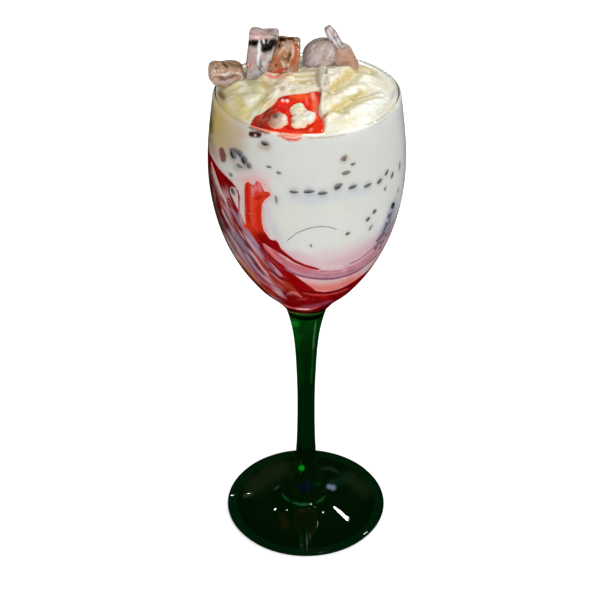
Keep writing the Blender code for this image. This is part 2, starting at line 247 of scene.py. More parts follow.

# Streaks painted on the wall in turn, one of them a painted reflection along the glass's left edge: half
# width in pixels, colour, strength and pixels
FLOW = [
    (9.0, (156, 122, 124), 0.75, [(224, 222), (232, 238), (242, 252), (254, 266), (266, 279)]),
    # painted olive reflection along the glass's left edge
    (2.6, (86, 72, 54), 0.95, [(209, 166), (210.5, 182), (213, 197), (217, 212), (222, 227),
                               (227, 239)]),
    (2.4, (116, 80, 72), 0.85, [(226, 238), (232, 249), (239, 259)]),
    (2.6, (92, 4, 10), 0.95, [(211, 178), (214, 188), (218, 197), (222, 207), (225, 217), (229, 227),
                              (233, 235)]),
    (2.2, (78, 22, 28), 0.85, [(233, 234), (238, 242), (243, 248)]),
    (1.8, (158, 112, 106), 0.85, [(214, 177), (217, 185), (220, 193), (225, 202), (230, 211)]),
    (1.3, (210, 196, 186), 0.95, [(213, 168), (216.5, 179), (220.5, 189), (223.5, 197)]),
    (2.6, (152, 128, 140), 0.90, [(225, 210), (231, 221), (237, 232), (243, 241), (248, 248)]),
    (1.2, (104, 14, 24), 0.90, [(217, 196), (224, 208.5), (231, 221), (238, 232.5)]),
    (1.0, (206, 120, 120), 0.85, [(220, 200), (226, 208), (232, 217), (238, 227), (243, 235)]),
    (1.2, (112, 10, 18), 0.90, [(222, 196), (229, 207.5), (236, 218), (243, 230), (248, 237)]),
    (1.9, (168, 140, 156), 0.90, [(229, 206), (236, 214), (243, 225), (250, 233), (256, 241)]),
    (1.1, (126, 16, 22), 0.90, [(230, 199), (236, 208), (240.5, 215), (247, 224.5), (252, 231)]),
    (3.0, (170, 136, 158), 0.90, [(245, 231), (252, 240), (258, 248), (265, 256.5), (272, 265),
                                  (279, 273)]),
    (1.0, (204, 150, 170), 0.60, [(247, 231), (254, 240), (261, 249), (268, 258), (274, 265)]),
    (3.6, (186, 68, 44), 0.90, [(255, 253), (259, 260), (265, 268), (270, 274)]),
    (4.2, (152, 130, 144), 0.85, [(233, 228), (239, 239), (246, 249), (253, 256)]),
    (1.0, (88, 36, 54), 0.85, [(237, 228), (243.5, 238), (249, 246), (256, 252.5)]),
    (3.2, (160, 122, 146), 0.90, [(239, 247), (247, 257), (256, 268), (266, 279), (274, 286)]),
    (1.1, (86, 48, 60), 0.90, [(244, 250), (250, 256), (257, 264), (265, 273.5), (272, 281)]),
    (0.9, (196, 110, 124), 0.70, [(240, 253), (248, 263), (257, 274), (266, 284)]),
    (2.2, (186, 72, 84), 0.75, [(256, 273), (264, 281), (272, 287), (280, 290)]),
    (1.4, (208, 140, 86), 0.95, [(236, 253), (243, 262), (250, 271), (257, 279.5), (263, 286)]),
    (1.2, (188, 88, 52), 0.80, [(263, 286), (269, 291), (277, 296)]),
    (3.4, (198, 40, 18), 0.80, [(252, 228), (256, 235), (260, 241)]),
    (3.4, (150, 2, 6), 0.95, [(262, 249), (268, 257), (276, 266), (286, 275), (297, 284), (306, 290)]),
    (1.2, (234, 134, 138), 0.90, [(264, 243.5), (268, 248.5), (272, 252.5), (276.5, 257.5), (281, 262)]),
    (1.8, (206, 120, 92), 0.60, [(272, 248.5), (277, 253), (283, 257.5), (289, 260.5)]),
    (3.0, (200, 78, 52), 0.55, [(272, 277), (281, 282), (290, 286), (297, 291)]),
    (1.6, (218, 122, 112), 0.80, [(289, 294), (293, 292.2), (298, 293.5), (303, 297)]),
    (1.2, (120, 80, 110), 0.60, [(288, 294), (293, 295.5)]),
    (1.0, (204, 72, 70), 0.70, [(304, 293), (314, 294.5), (326, 294.8), (338, 292.8), (350, 288.3)]),
    (1.1, (92, 0, 5), 0.85, [(306, 290.6), (316, 292.5), (328, 292.5), (340, 289.6), (352, 284)]),
    (0.8, (196, 62, 56), 0.60, [(297, 299.8), (304, 299.4), (310, 297.6)]),
]
LEFT_EDGE = [
    (206, 150), (208.5, 166), (212, 190), (219, 214), (229, 236), (241, 256), (256, 276), (272, 292),
    (290, 303)]
PLUME = [
    (2.6, (204, 34, 18), 0.90, [(248.6, 186), (248.6, 200), (249, 214), (251, 226)]),
    (1.4, (226, 84, 66), 0.85, [(252.6, 190), (253, 202), (253.5, 214), (254.5, 226)]),
    (1.6, (236, 66, 40), 0.70, [(256.6, 192), (256.4, 206), (256.8, 220), (258, 230)]),
    (2.4, (208, 40, 18), 0.90, [(260.6, 200), (259.8, 212), (260, 222), (262.4, 231), (267, 239)]),
    (1.6, (226, 150, 158), 0.80, [(253, 184.5), (254.5, 190), (254, 196)]),
    (1.8, (224, 140, 152), 0.80, [(260.6, 184), (261.4, 190)]),
    (1.2, (236, 190, 190), 0.60, [(256.5, 184), (257.5, 190)]),
    (1.2, (180, 18, 24), 0.85, [(248, 184), (248.6, 190)]),
    (1.3, (196, 60, 80), 0.70, [(264, 188), (267.5, 192)]),
    (1.7, (168, 46, 26), 0.85, [(263, 196), (270, 195.4)]),
    (1.7, (186, 20, 20), 0.85, [(257.5, 198.4), (262, 197)]),
    (1.4, (236, 110, 90), 0.60, [(246, 204), (246.4, 216)]),
    (0.7, (236, 110, 84), 0.60, [(247.5, 213.5), (256, 213.5)]),
]
# Noodles in the bundle, each coloured by the streaks above: radius in mm and pixels
BUNDLE = [
    (0.55, [(245, 231), (252, 240), (258, 248), (265, 256.5), (272, 265), (279, 273), (284, 278)]),
    (0.50, [(229, 206), (236, 214), (243, 225), (250, 233), (256, 241), (262, 249)]),
    (0.50, [(225, 210), (231, 221), (237, 232), (243, 241), (250, 250)]),
    (0.55, [(233, 228), (239, 239), (246, 249), (253, 257), (260, 266)]),
    (0.55, [(239, 247), (247, 257), (256, 268), (266, 279), (274, 286)]),
    (0.45, [(236, 247), (244, 258), (253, 270), (263, 281), (270, 287)]),
    (0.45, [(256, 273), (264, 281), (272, 287), (281, 291)]),
    (0.40, [(214, 177), (217, 185), (220, 193), (225, 202), (230, 211), (236, 221)]),
    (0.40, [(240, 222), (246, 231), (252, 239), (257, 246)]),
    (0.35, [(213, 188), (216, 200), (220, 212), (225, 224), (230, 234)]),
]
# Noodles in the milk above the pool: radius in mm, colour, pixels, then angle and height
LONE_NOODLES = [
    (0.70, (192, 132, 148),
     [(276, 257), (283, 262.5), (291, 267.5), (300, 271), (312, 273.5), (325, 274.6), (337, 274),
      (348, 271.6), (358, 267.6), (366, 262.6), (373, 256.6)],
     [(88, 133)]),
    (0.60, (150, 92, 114),
     [(284, 267), (294, 272.6), (306, 276.6), (320, 278.6), (334, 278.4), (346, 276), (356, 272.2),
      (364, 267.2), (371, 261.2)],
     [(85, 129)]),
    (0.60, (200, 138, 150),
     [(318, 270.6), (330, 271.4), (341, 270.6), (351, 267.8), (360, 263.4), (368, 258), (376, 251)],
     [(90, 138), (98, 139)]),
    (0.42, (170, 120, 140), [(350, 263.6), (358, 260.4), (366, 255), (373, 248.6)], [(84, 142)]),
    (0.22, (160, 164, 166),
     [(287, 242), (292, 237.6), (299, 232.6), (307, 229.4), (315, 227.2), (323, 226.3), (331, 227.2),
      (339, 229.6)],
     []),
]
# Noodles made up round the back: number, and the angles they run between
BACK_NOODLES = 26
BACK_TURN = (-176, -88)

# Marks in the milk: half width, colour, strength and pixels
MILK_MARKS = [
    # tan and olive down the left: partly the milk's warmer tone, partly painted shade and a painted warm
    # reflection of the glass's edge
    (14.0, (202, 178, 140), 0.90, [(230, 108), (233, 128), (230, 144)]),
    (8.0, (212, 184, 104), 0.85, [(216, 100), (219, 122), (220, 142)]),
    (6.0, (176, 138, 26), 0.95, [(207, 96), (208, 120), (208, 140), (207, 154)]),
    (2.0, (120, 96, 16), 0.80, [(212, 118), (212, 132)]),
    (3.5, (184, 132, 96), 0.60, [(213, 140), (215, 152), (219, 161)]),
    (2.4, (112, 118, 132), 0.70, [(231, 149.5), (236, 151), (241, 154), (246, 160), (247, 166)]),
    (2.2, (128, 140, 158), 0.65, [(247, 163), (250.5, 167)]),
    (3.4, (166, 160, 150), 0.60, [(238, 167), (245, 168)]),
    (4.0, (198, 168, 132), 0.70, [(262, 146), (268, 146.5)]),
    (2.8, (196, 170, 92), 0.60, [(343, 160), (347, 157)]),
    (5.0, (190, 196, 214), 0.35, [(290, 198), (310, 200), (330, 198), (350, 192), (372, 190)]),
    (4.0, (196, 190, 206), 0.45, [(268, 205), (270, 218), (276, 232), (286, 247)]),
    (3.0, (230, 170, 166), 0.70, [(240, 180.5), (248, 180), (256, 179), (264, 183), (272, 190)]),
    (6.0, (226, 186, 184), 0.40, [(244, 176), (256, 175), (266, 180)]),
    (2.2, (216, 176, 180), 0.60, [(264, 205), (264, 222), (270, 236)]),
    (5.0, (212, 170, 178), 0.60, [(284, 250), (296, 256), (310, 262), (324, 264)]),
    (9.0, (214, 178, 186), 0.55, [(300, 256), (320, 260), (345, 258), (365, 248), (380, 236)]),
    (5.0, (206, 160, 176), 0.60, [(330, 264), (350, 260), (368, 251), (382, 238), (394, 222)]),
    (4.0, (150, 148, 176), 0.50, [(380, 244), (386, 232), (391, 221), (394, 208)]),
    (4.0, (204, 92, 94), 0.90, [(267, 246), (276, 255), (286, 263.5), (300, 271.5)]),
    (1.6, (178, 92, 112), 0.85, [(272, 249), (282, 258), (294, 265), (308, 269)]),
    (1.0, (232, 130, 126), 0.80, [(268, 248), (276, 256), (286, 264), (297, 271)]),
    (4.4, (198, 140, 152), 0.80, [(284, 263), (296, 268.5), (310, 272.5), (326, 274.4), (342, 272.8),
                                  (358, 267), (372, 256.5), (383, 243)]),
    (3.0, (192, 96, 108), 0.80, [(286, 263), (298, 268.5), (312, 270), (322, 272)]),
    (1.6, (150, 92, 116), 0.60, [(290, 270), (304, 275), (320, 277.6), (336, 277), (350, 273.6),
                                 (364, 266)]),
    (3.0, (200, 184, 176), 0.50, [(300, 279.5), (312, 282.5), (326, 283), (342, 281), (356, 275)]),
    (3.6, (140, 138, 172), 0.60, [(397, 198), (392, 214), (388, 228), (380, 243)]),
    (3.2, (226, 170, 172), 0.80, [(288, 268.5), (298, 275.5), (309, 281), (320, 284.5)]),
    (4.2, (220, 108, 96), 0.85, [(308, 285), (320, 288), (334, 288), (348, 283), (360, 275)]),
    # the same tan under the rim at the left: partly warmer tone, partly painted shade
    (5.0, (216, 200, 148), 0.60, [(222, 114), (232, 121), (242, 126)]),
    (4.0, (196, 188, 184), 0.60, [(236, 122), (243, 126)]),
]
# Marks with crisp edges: syrup under the rim with a painted glint and the lip's painted highlight and
# shade lines, a red mark by the seeds, and seeds at the right edge
CRISP_MARKS = [
    (3.0, (62, 2, 5), 1.00, [(252.5, 134), (260, 134.8)]),
    # painted glint
    (0.9, (240, 220, 218), 0.95, [(256.3, 135.4)]),
    # painted shade line under the lip
    (0.9, (56, 18, 18), 0.95, [(248.5, 127), (256, 129.3), (264, 131.6), (271, 133.8)]),
    (1.0, (204, 110, 76), 0.90, [(262, 133.2), (269, 135)]),
    (1.0, (210, 170, 150), 0.70, [(279, 136.5), (287, 138)]),
    (2.0, (226, 92, 66), 0.85, [(279, 135.4), (289, 136.8), (302, 136.2)]),
    (1.9, (222, 70, 50), 0.90, [(284, 138), (291, 139.4), (297, 139.6), (302, 138.4)]),
    # a painted highlight line, then painted shade lines along the lip
    (0.7, (244, 206, 190), 0.80, [(284, 136.4), (292, 138), (301, 137)]),
    (0.7, (166, 142, 134), 0.70, [(306, 137.8), (320, 137.6), (335, 136.6), (346, 134.4)]),
    (0.8, (180, 184, 182), 0.70, [(370, 128.5), (385, 119.5), (398, 107.5)]),
    (2.8, (122, 44, 48), 0.90, [(222.4, 150), (224, 156), (224.4, 160)]),
    (1.4, (34, 34, 62), 1.00, [(394.4, 203.6), (393.2, 207.4)]),
    (1.5, (36, 36, 66), 0.95, [(390.6, 214.6), (389.8, 217)]),
    (1.4, (44, 44, 76), 0.90, [(387.8, 223.6), (386.8, 226.4)]),
    (1.5, (36, 34, 64), 0.95, [(384.8, 232.6), (384.0, 234.4)]),
    (1.3, (48, 42, 72), 0.90, [(380.6, 238), (379.8, 239.8)]),
    (1.2, (50, 44, 74), 0.85, [(382.6, 242), (381.8, 243.6)]),
    (1.1, (60, 52, 84), 0.80, [(376.6, 246.4), (375.8, 248)]),
]

# Seeds: pixel, length and width in mm, turn in degrees and how strongly each shows
SEEDS = [
    (266, 144, 2.6, 1.2, 5, 1.0), (234, 156, 4.2, 2.2, 62, 1.0),
    (237.5, 151.5, 2.6, 1.3, 10, 0.55), (241.5, 155, 2.8, 1.5, 40, 0.75),
    (245.4, 162, 3.4, 2.0, 65, 1.0),
    (241, 166.5, 2.4, 1.0, 0, 0.45), (250, 166.5, 2.2, 1.5, 75, 0.6),
    (270, 167, 1.6, 0.8, 0, 0.3), (280, 173, 1.6, 0.9, 10, 0.3), (232, 175, 1.8, 1.1, 0, 0.35),
    (234.2, 191.5, 2.6, 1.6, 55, 0.9), (277.3, 200, 3.0, 0.7, 85, 0.35),
    (295, 192, 2.8, 0.9, 0, 0.7), (310, 191.6, 3.0, 1.1, -4, 0.8), (324, 193, 3.0, 1.1, 0, 0.7),
    (338.5, 186.8, 2.8, 1.6, -30, 0.85), (354, 186.6, 2.8, 1.2, 0, 0.7),
    (369, 185, 2.8, 1.1, -8, 0.7),
    (380.5, 181, 2.3, 1.3, -20, 0.75), (387.5, 172.6, 2.2, 1.2, -40, 0.6),
    (393, 175, 2.2, 1.2, -60, 0.7),
    (400.5, 166, 3.4, 0.8, -85, 0.6), (386, 188.4, 1.6, 0.9, -50, 0.5),
    (399, 190, 2.2, 0.8, -80, 0.4),
    (345, 158.6, 2.0, 1.5, -60, 0.45), (354, 164, 1.6, 0.9, 0, 0.3), (347, 173, 2.6, 1.4, 0, 0.3),
    (375.5, 211, 1.6, 1.5, 0, 0.8), (369, 218.6, 1.8, 1.2, -45, 0.8),
    (372, 226.5, 2.4, 0.8, -60, 0.3),
    (392, 214, 3.4, 0.8, -70, 0.8), (390.5, 221, 2.4, 0.9, -70, 0.8),
    (385.7, 228.3, 2.6, 1.1, -65, 0.95),
    (391, 226.5, 2.2, 0.8, -70, 0.7), (387.7, 233.7, 2.2, 1.2, -50, 0.95),
    (382.3, 235.2, 2.4, 1.3, -45, 0.8),
    (379.5, 238.6, 2.4, 1.0, -30, 0.8), (384.3, 240.3, 2.0, 1.1, -50, 0.9),
    (379.7, 242.3, 1.8, 1.0, -40, 0.9),
    (377.7, 247, 2.0, 0.9, -55, 0.8), (381.7, 246.4, 1.7, 1.0, -50, 0.8),
    (349, 233, 1.5, 1.1, 0, 0.6),
    (312, 245, 1.6, 0.6, 80, 0.25)]
SEED_ROW_BACK = (162.0, 12)    # height and number of the seeds whose row goes on round the back
LOOSE_SEEDS_BACK = 20

# Top
CREAM_EDGE = 179.4
CREAM_RISE = 6.4
CREAM_RADIUS = 29.3
CREAM_FLOOR = 176.0
CREAM_COLUMNS, CREAM_RINGS = 420, 120
SLOPE = 0.18
SLOPE_FOOT = (-29.0, 180.0)
FOLDS = [                      # start x, y, end x, y, width and depth of each groove
    (8, -9, 21, 12, 2.0, 1.5), (10, -18, 22, -3, 1.8, 1.1), (27, -9, 21, -18, 1.6, 0.8)]
TOPPING_OUTLINE = [
    (-18, -25), (-17, -21), (-14.1, -18), (-10.7, -13.9), (-8.3, -11.2), (-2, -9.7), (3.8, -8.7),
    (4.3, -11.5), (3.9, -18.5), (5.6, -23.3), (4.9, -28.8), (-1.3, -31), (-7, -31), (-14, -29)]
CREAM_LUMPS = [                # centre x, y and radii of the lumps that stand out of the syrup
    (-2.9, -18.0, 2.7, 3.3, 1.9), (0.4, -21.4, 2.3, 3.3, 1.7), (-2.7, -23.7, 2.7, 3.2, 1.7),
    (-9.3, -22.8, 3.0, 4.4, 1.5)]
TOPPING_CENTRE = (-5.0, -20.5)
TOPPING_LIFT = 1.1             # of its back
# Finer folds of the ice cream: start x, y, end x, y, width and depth
FINE_FOLDS = [
    (-6, 2, 4, 3.5, 0.8, 0.35), (-6.5, -1, 4, 0.2, 0.7, 0.35), (-6, -4, 3, -3, 0.8, 0.4),
    (12, -12, 20, -6, 0.9, 0.4), (13, 4, 22, 14, 1.0, 0.4), (15, -14, 24, -6, 0.8, 0.35),
    (-24, -8, -19, -16, 1.2, 0.7), (-20, -5, -14, -9, 1.0, 0.6), (-15, -12, -9, -7, 1.0, 0.7),
    (-26, -2, -20, -2, 1.0, 0.5), (-13, -2, -12, -8, 1.2, 0.6)]
SWELLS = [                     # centre x, y, radii and height of swells in front of the ice
    (14, 6, 6, 3.5, 1.3), (18, 4.5, 5, 3, 1.2), (-12, 0.5, 8, 2.5, 1.1), (-25, 0, 4, 3, 1.0),
    (2, 4, 5, 2.5, 0.7)]

# Colours of the ice cream, its lumps and the topping
CREAM_WHITE = (228, 224, 204)
# painted shade in the folds
CREAM_FOLD_SHADE = (202, 184, 116)
# patches on the left, darker than the white, that partly stand for painted shade on that side
CREAM_GREEN_AND_SHADE = (204, 196, 140)
CREAM_TAN_AND_SHADE = (196, 176, 104)
CREAM_HALO = (222, 170, 120)   # round the topping
CREAM_SPECKLE = (214, 206, 172)
LUMP_WHITE = (228, 220, 196)
LUMP_EDGE = (240, 150, 120)
TOPPING_RED = (232, 52, 28)
TOPPING_DARK = (186, 22, 18)
TOPPING_SPECKLE = (196, 16, 10)

# Marks on the ice cream: half width, colour, strength and pixels. Besides spots, syrup and lumps they
# paint shade, darker at the left and yellow in the folds, and glints
CREAM_MARKS = [
    # painted shade: the heap darker and yellower at the left
    (10.0, (186, 166, 100), 0.75, [(214, 92), (222, 108), (236, 120)]),
    (5.0, (196, 178, 88), 0.70, [(217, 112), (226, 110)]),
    (3.0, (204, 192, 180), 0.75, [(231, 96), (233, 106), (236, 114)]),
    (5.0, (208, 196, 124), 0.70, [(240, 98), (242, 108), (247, 116)]),
    # painted shade in small creases
    (1.2, (190, 164, 84), 0.70, [(240, 106), (246, 104.5)]),
    (1.2, (190, 164, 84), 0.70, [(240.5, 116), (245, 111)]),
    (1.2, (168, 144, 92), 0.70, [(252, 114), (248, 119)]),
    (3.4, (196, 172, 92), 0.75, [(262, 76), (266, 86), (268, 94)]),
    (2.2, (186, 168, 96), 0.80, [(252, 112), (258, 105), (266, 100.5), (275, 99.5)]),
    (3.0, (226, 222, 200), 0.70, [(246, 84), (250, 94), (246, 104)]),
    (4.0, (226, 206, 196), 0.70, [(282, 80), (285, 88), (284, 94)]),
    (1.6, (150, 112, 92), 0.70, [(282.5, 89.5), (284, 89)]),
    # painted yellow shade in the folds
    (2.0, (198, 178, 118), 0.70, [(290, 84), (304, 82.6), (319, 83)]),
    (1.8, (206, 188, 136), 0.60, [(296, 76.5), (306, 75.5), (317, 77)]),
    (1.6, (208, 190, 140), 0.50, [(288, 91), (302, 89.5), (314, 88)]),
    (4.4, (194, 168, 82), 0.80, [(327, 97), (333, 89), (340, 81), (349, 74), (359, 68)]),
    (2.6, (214, 196, 112), 0.60, [(359, 68), (368, 67), (378, 72)]),
    (4.2, (196, 174, 88), 0.75, [(327, 114), (334, 110), (342, 106), (352, 100), (362, 92)]),
    (2.4, (168, 146, 70), 0.50, [(350, 101), (358, 95), (362, 91)]),
    (3.0, (204, 186, 104), 0.60, [(330, 104), (342, 112), (352, 112)]),
    (2.6, (228, 218, 186), 0.80, [(326, 105), (334, 97), (342, 91), (350, 86), (359, 80)]),
    (9.0, (222, 226, 226), 0.65, [(376, 92), (386, 100), (372, 112), (360, 118)]),
    (2.0, (196, 194, 178), 0.60, [(397, 88), (391, 101), (382, 110), (373, 115)]),
    (2.2, (112, 66, 46), 0.90, [(221, 94), (224, 98)]),
    (1.4, (222, 52, 44), 0.85, [(267, 73), (272, 77), (277, 77.5), (283, 73)]),
    (1.4, (222, 52, 44), 0.85, [(288, 71), (293, 69), (299, 68)]),
    (1.6, (232, 140, 120), 0.60, [(262, 70), (270, 78), (284, 77), (297, 71)]),
    (1.0, (122, 70, 50), 0.90, [(322, 118), (325, 116.5), (327.5, 114)]),
    (2.0, (236, 150, 130), 0.60, [(320, 119), (325, 117)]),
    (1.0, (110, 56, 40), 0.90, [(323, 119.5), (326.5, 115), (329, 112.5)]),
    # painted glints
    (1.2, (255, 246, 200), 0.90, [(335, 114.6)]),
    (1.2, (255, 246, 190), 0.80, [(343, 110.8)]),
    (1.4, (168, 164, 146), 0.70, [(346, 112.5), (350, 113.5)]),
    (3.4, (214, 204, 150), 0.60, [(334, 122), (348, 121), (362, 117)]),
    (2.0, (176, 176, 178), 0.60, [(397, 86), (394, 94), (391, 102)]),
    (2.4, (232, 228, 224), 0.60, [(352, 92), (357, 90)]),
    (1.0, (150, 140, 110), 0.70, [(359, 88.5), (360, 91)]),
]
# Marks on the topping, the same, with painted glints on its gloss
TOPPING_MARKS = [
    (7.0, (156, 40, 26), 0.90, [(256, 121), (262, 114), (270, 108)]),
    (5.0, (132, 56, 38), 0.85, [(263, 124), (268, 119), (270, 114)]),
    (2.4, (104, 24, 16), 0.80, [(252, 124), (260, 126), (270, 128)]),
    (1.3, (76, 4, 6), 0.90, [(254, 112.5), (256, 111)]),
    (1.6, (84, 6, 8), 0.90, [(266.5, 111.5), (268.5, 110)]),
    (1.0, (96, 14, 12), 0.80, [(266, 114), (264.6, 120)]),
    (1.4, (206, 120, 100), 0.60, [(261, 118), (264, 112)]),
    (3.0, (222, 40, 34), 0.80, [(274, 105), (282, 104), (288, 107)]),
    (2.2, (146, 0, 10), 0.90, [(277, 99.5), (281, 98.5), (288, 98)]),
    # painted glints
    (1.3, (255, 236, 232), 0.95, [(283.5, 100.5)]),
    (1.5, (255, 236, 232), 0.95, [(288, 100.8)]),
    (1.2, (226, 30, 30), 0.80, [(281, 104), (286, 110), (287, 116)]),
    # painted glint
    (1.3, (250, 150, 140), 0.85, [(287, 119.5), (287.6, 123)]),
    (1.6, (176, 16, 16), 0.80, [(286, 126), (290, 128)]),
    (3.0, (240, 94, 44), 0.90, [(292, 97), (302, 96.5), (312, 96)]),
    (1.4, (180, 20, 16), 0.80, [(316, 93.6), (318.6, 95.5)]),
    (3.4, (255, 124, 84), 0.95, [(316, 97), (316.5, 108), (317, 118)]),
    (1.5, (250, 168, 150), 0.85, [(313.5, 94), (314, 99)]),
    (1.4, (244, 150, 140), 0.70, [(307, 98), (308, 104)]),
    (3.4, (224, 56, 16), 0.85, [(318, 122), (311, 128), (302, 130)]),
    (1.0, (166, 30, 12), 0.80, [(298, 130.5), (308, 129), (315, 124)]),
    # painted glint
    (1.0, (252, 150, 130), 0.80, [(311, 130.5), (312.5, 129)]),
]
LUMP_MARKS = [
    (3.0, (212, 214, 178), 0.70, [(296, 106), (302, 105)]),
    (1.0, (206, 178, 140), 0.70, [(294, 112), (300, 110.5), (305, 111)]),
    (2.6, (222, 228, 232), 0.80, [(310, 113), (311, 118)]),
    (1.8, (160, 128, 108), 0.85, [(292, 121), (294, 121.5)]),
    (1.2, (196, 166, 146), 0.60, [(303, 124), (305, 122)]),
    (8.0, (168, 112, 94), 0.90, [(273, 112), (274, 120), (275, 127)]),
    (5.0, (146, 56, 40), 0.95, [(265, 110), (266, 120), (267, 129)]),
    (3.0, (152, 100, 102), 0.80, [(272, 113.5), (277, 112), (281, 113.5)]),
    (2.4, (222, 196, 180), 0.85, [(283, 115), (284.5, 121), (283, 127)]),
    (3.0, (198, 168, 152), 0.80, [(279, 121), (280, 125)]),
    (2.6, (70, 2, 6), 1.00, [(276, 116)]),
]
# Marks in the ice, the same, with painted glints and highlight lines and black painted reflections
ICE_MARKS = {
    "ice_slab_left": [
        (3.0, (224, 196, 172), 0.60, [(211, 68), (212, 76)]),
        (2.4, (150, 112, 66), 0.70, [(222, 62), (227, 66), (238, 62)]),
        (1.2, (66, 48, 22), 0.95, [(224, 64), (227.5, 67)]),
        (2.2, (112, 76, 74), 0.80, [(216, 77), (224, 78.5), (233, 77.5)]),
        # painted silvery highlights, with dark painted reflections between
        (1.3, (232, 228, 226), 0.90, [(220, 74.5), (226, 75), (231, 72)]),
        (1.2, (84, 56, 60), 0.80, [(230, 76.5), (238, 75.5)]),
        (2.0, (206, 186, 186), 0.80, [(216, 82), (228, 83), (236, 79)]),
        (1.0, (238, 236, 232), 0.90, [(237, 73), (243, 74)])],
    "ice_cube_tall": [
        (5.4, (255, 216, 206), 0.95, [(250, 34), (262, 34), (272, 37)]),
        (1.0, (222, 130, 116), 0.70, [(250, 32), (254, 36)]),
        (1.0, (222, 140, 126), 0.70, [(260, 33), (266, 36)]),
        (0.8, (236, 160, 140), 0.70, [(254, 38.5), (270, 39.5)]),
        # black painted reflections
        (3.2, (8, 6, 5), 1.00, [(248, 43.5), (258, 43)]),
        (3.8, (10, 8, 7), 1.00, [(265, 43), (275, 42.5)]),
        (3.8, (16, 12, 10), 1.00, [(265, 49), (270, 47)]),
        # painted glints
        (1.0, (240, 240, 240), 0.90, [(264, 40), (264.5, 43)]),
        (0.9, (226, 226, 230), 0.90, [(270, 39), (268, 43)]),
        (4.4, (178, 152, 146), 0.80, [(251, 50), (252, 60)]),
        # a painted highlight line
        (1.3, (244, 244, 246), 1.00, [(260, 40), (259.4, 54), (259, 68)]),
        (1.6, (130, 132, 136), 0.70, [(261.5, 56), (260, 70)]),
        (3.0, (214, 96, 66), 0.95, [(249, 65.5)]),
        # painted glint
        (1.0, (246, 236, 226), 1.00, [(248.6, 65)]),
        # painted silvery reflections
        (2.4, (206, 208, 212), 0.80, [(247, 74), (256, 73), (263, 71)]),
        (0.9, (44, 44, 46), 0.80, [(250, 71.5), (254, 73.5)]),
        (0.9, (50, 50, 54), 0.80, [(258, 66), (262, 72)])],
    "ice_cube_middle": [
        (3.2, (186, 166, 160), 0.85, [(277, 42), (271, 54), (266, 64)]),
        # black painted reflections
        (2.0, (20, 18, 16), 1.00, [(281, 39.5), (285, 39.5)]),
        (1.4, (26, 24, 22), 1.00, [(281.5, 42), (278.5, 49)]),
        (1.6, (60, 36, 22), 0.90, [(289, 39), (293, 38.5)]),
        (1.2, (216, 190, 170), 0.80, [(286, 44), (280, 54)]),
        (4.0, (186, 108, 70), 0.80, [(270, 60), (276, 58), (278, 66)]),
        (2.2, (198, 92, 54), 0.90, [(293, 42), (296.5, 50), (295, 60), (290, 68)]),
        (1.0, (238, 200, 180), 0.90, [(292, 41), (294, 48), (293.5, 58)]),
        (1.4, (70, 56, 28), 0.90, [(290.5, 49), (290, 56), (288.5, 62)]),
        (1.6, (150, 30, 20), 0.90, [(276.5, 65)]),
        (1.8, (224, 60, 50), 0.90, [(267, 71), (273, 74), (280, 71), (288, 68)]),
        # painted glint
        (0.8, (244, 240, 236), 0.90, [(284, 64), (285, 67)])],
    "ice_dome": [
        (1.4, (104, 92, 84), 0.80, [(301, 47), (304, 43), (309, 39)]),
        (3.4, (170, 150, 134), 0.70, [(310, 42), (322, 39), (330, 42)]),
        (6.0, (202, 186, 194), 0.85, [(304, 63), (309, 60), (314, 58)]),
        (2.2, (190, 122, 96), 0.70, [(301, 52), (302, 56)]),
        # painted glints
        (1.0, (240, 238, 240), 0.90, [(304, 68), (310, 70)]),
        (1.0, (240, 238, 240), 0.80, [(316, 66), (319, 62)])],
    "ice_wedge": [
        (9.0, (198, 152, 126), 0.85, [(334, 50), (346, 58), (356, 64)]),
        (2.0, (208, 180, 164), 0.70, [(334, 46), (344, 52)]),
        (1.2, (170, 110, 80), 0.60, [(340, 64), (352, 62)])],
    "ice_shard": [
        (1.6, (44, 44, 58), 0.95, [(334.5, 38)]),
        (1.6, (150, 144, 156), 0.70, [(330, 32), (338, 44)]),
        # a painted highlight line
        (1.0, (236, 234, 240), 0.90, [(328, 30), (334, 40), (339, 48)])],
    "ice_sliver": [
        (1.6, (232, 226, 216), 0.80, [(327, 66), (324, 78), (322, 90)]),
        (1.3, (110, 112, 112), 0.80, [(327.5, 70), (326.5, 73)]),
        (1.6, (206, 176, 158), 0.60, [(320, 66), (319, 80)])],
}

# Ice: centre; left and right side at the bottom, then at the top; depth and height; turn in
# degrees; edge rounding; look
ICE = {
    "ice_slab_left": ((-27.0, 4.5, 184.3), (-5.0, 6.2), (-5.4, 5.6), 8.6, 6.6, (0, 4, 8), 2.0, "peach"),
    "ice_cube_tall": ((-15.0, 6.0, 190.4), (-4.6, 1.6), (-4.3, 5.2), 8.4, 15.4, (-4, 5, 0), 0.7, "clear"),
    "ice_cube_middle": ((-8.0, 5.0, 190.2), (-5.2, 5.0), (-1.7, 5.7), 7.6, 11.4, (-4, 0, 0), 1.1, "amber"),
    "ice_dome": ((3.6, 10.4, 188.6), (-5.6, 5.5), (-3.6, 6.0), 10.4, 9.6, (0, 0, 6), 3.4, "frosted"),
    "ice_wedge": ((13.6, 11.6, 187.0), (-5.4, 5.2), (-5.4, -0.4), 7.6, 6.4, (0, 16, -6), 1.4, "frosted"),
    "ice_shard": ((8.6, 10.8, 194.2), (-1.9, 1.5), (-0.9, 1.3), 2.8, 8.4, (0, -34, 0), 0.5, "clear"),
    "ice_sliver": ((5.4, -3.6, 186.0), (-1.9, 1.9), (-1.6, 1.5), 12.6, 3.0, (7, 0, 6), 0.9, "creamy"),
}
ICE_WANDER = 0.25
ICE_STEPS = 30                 # faces along each edge
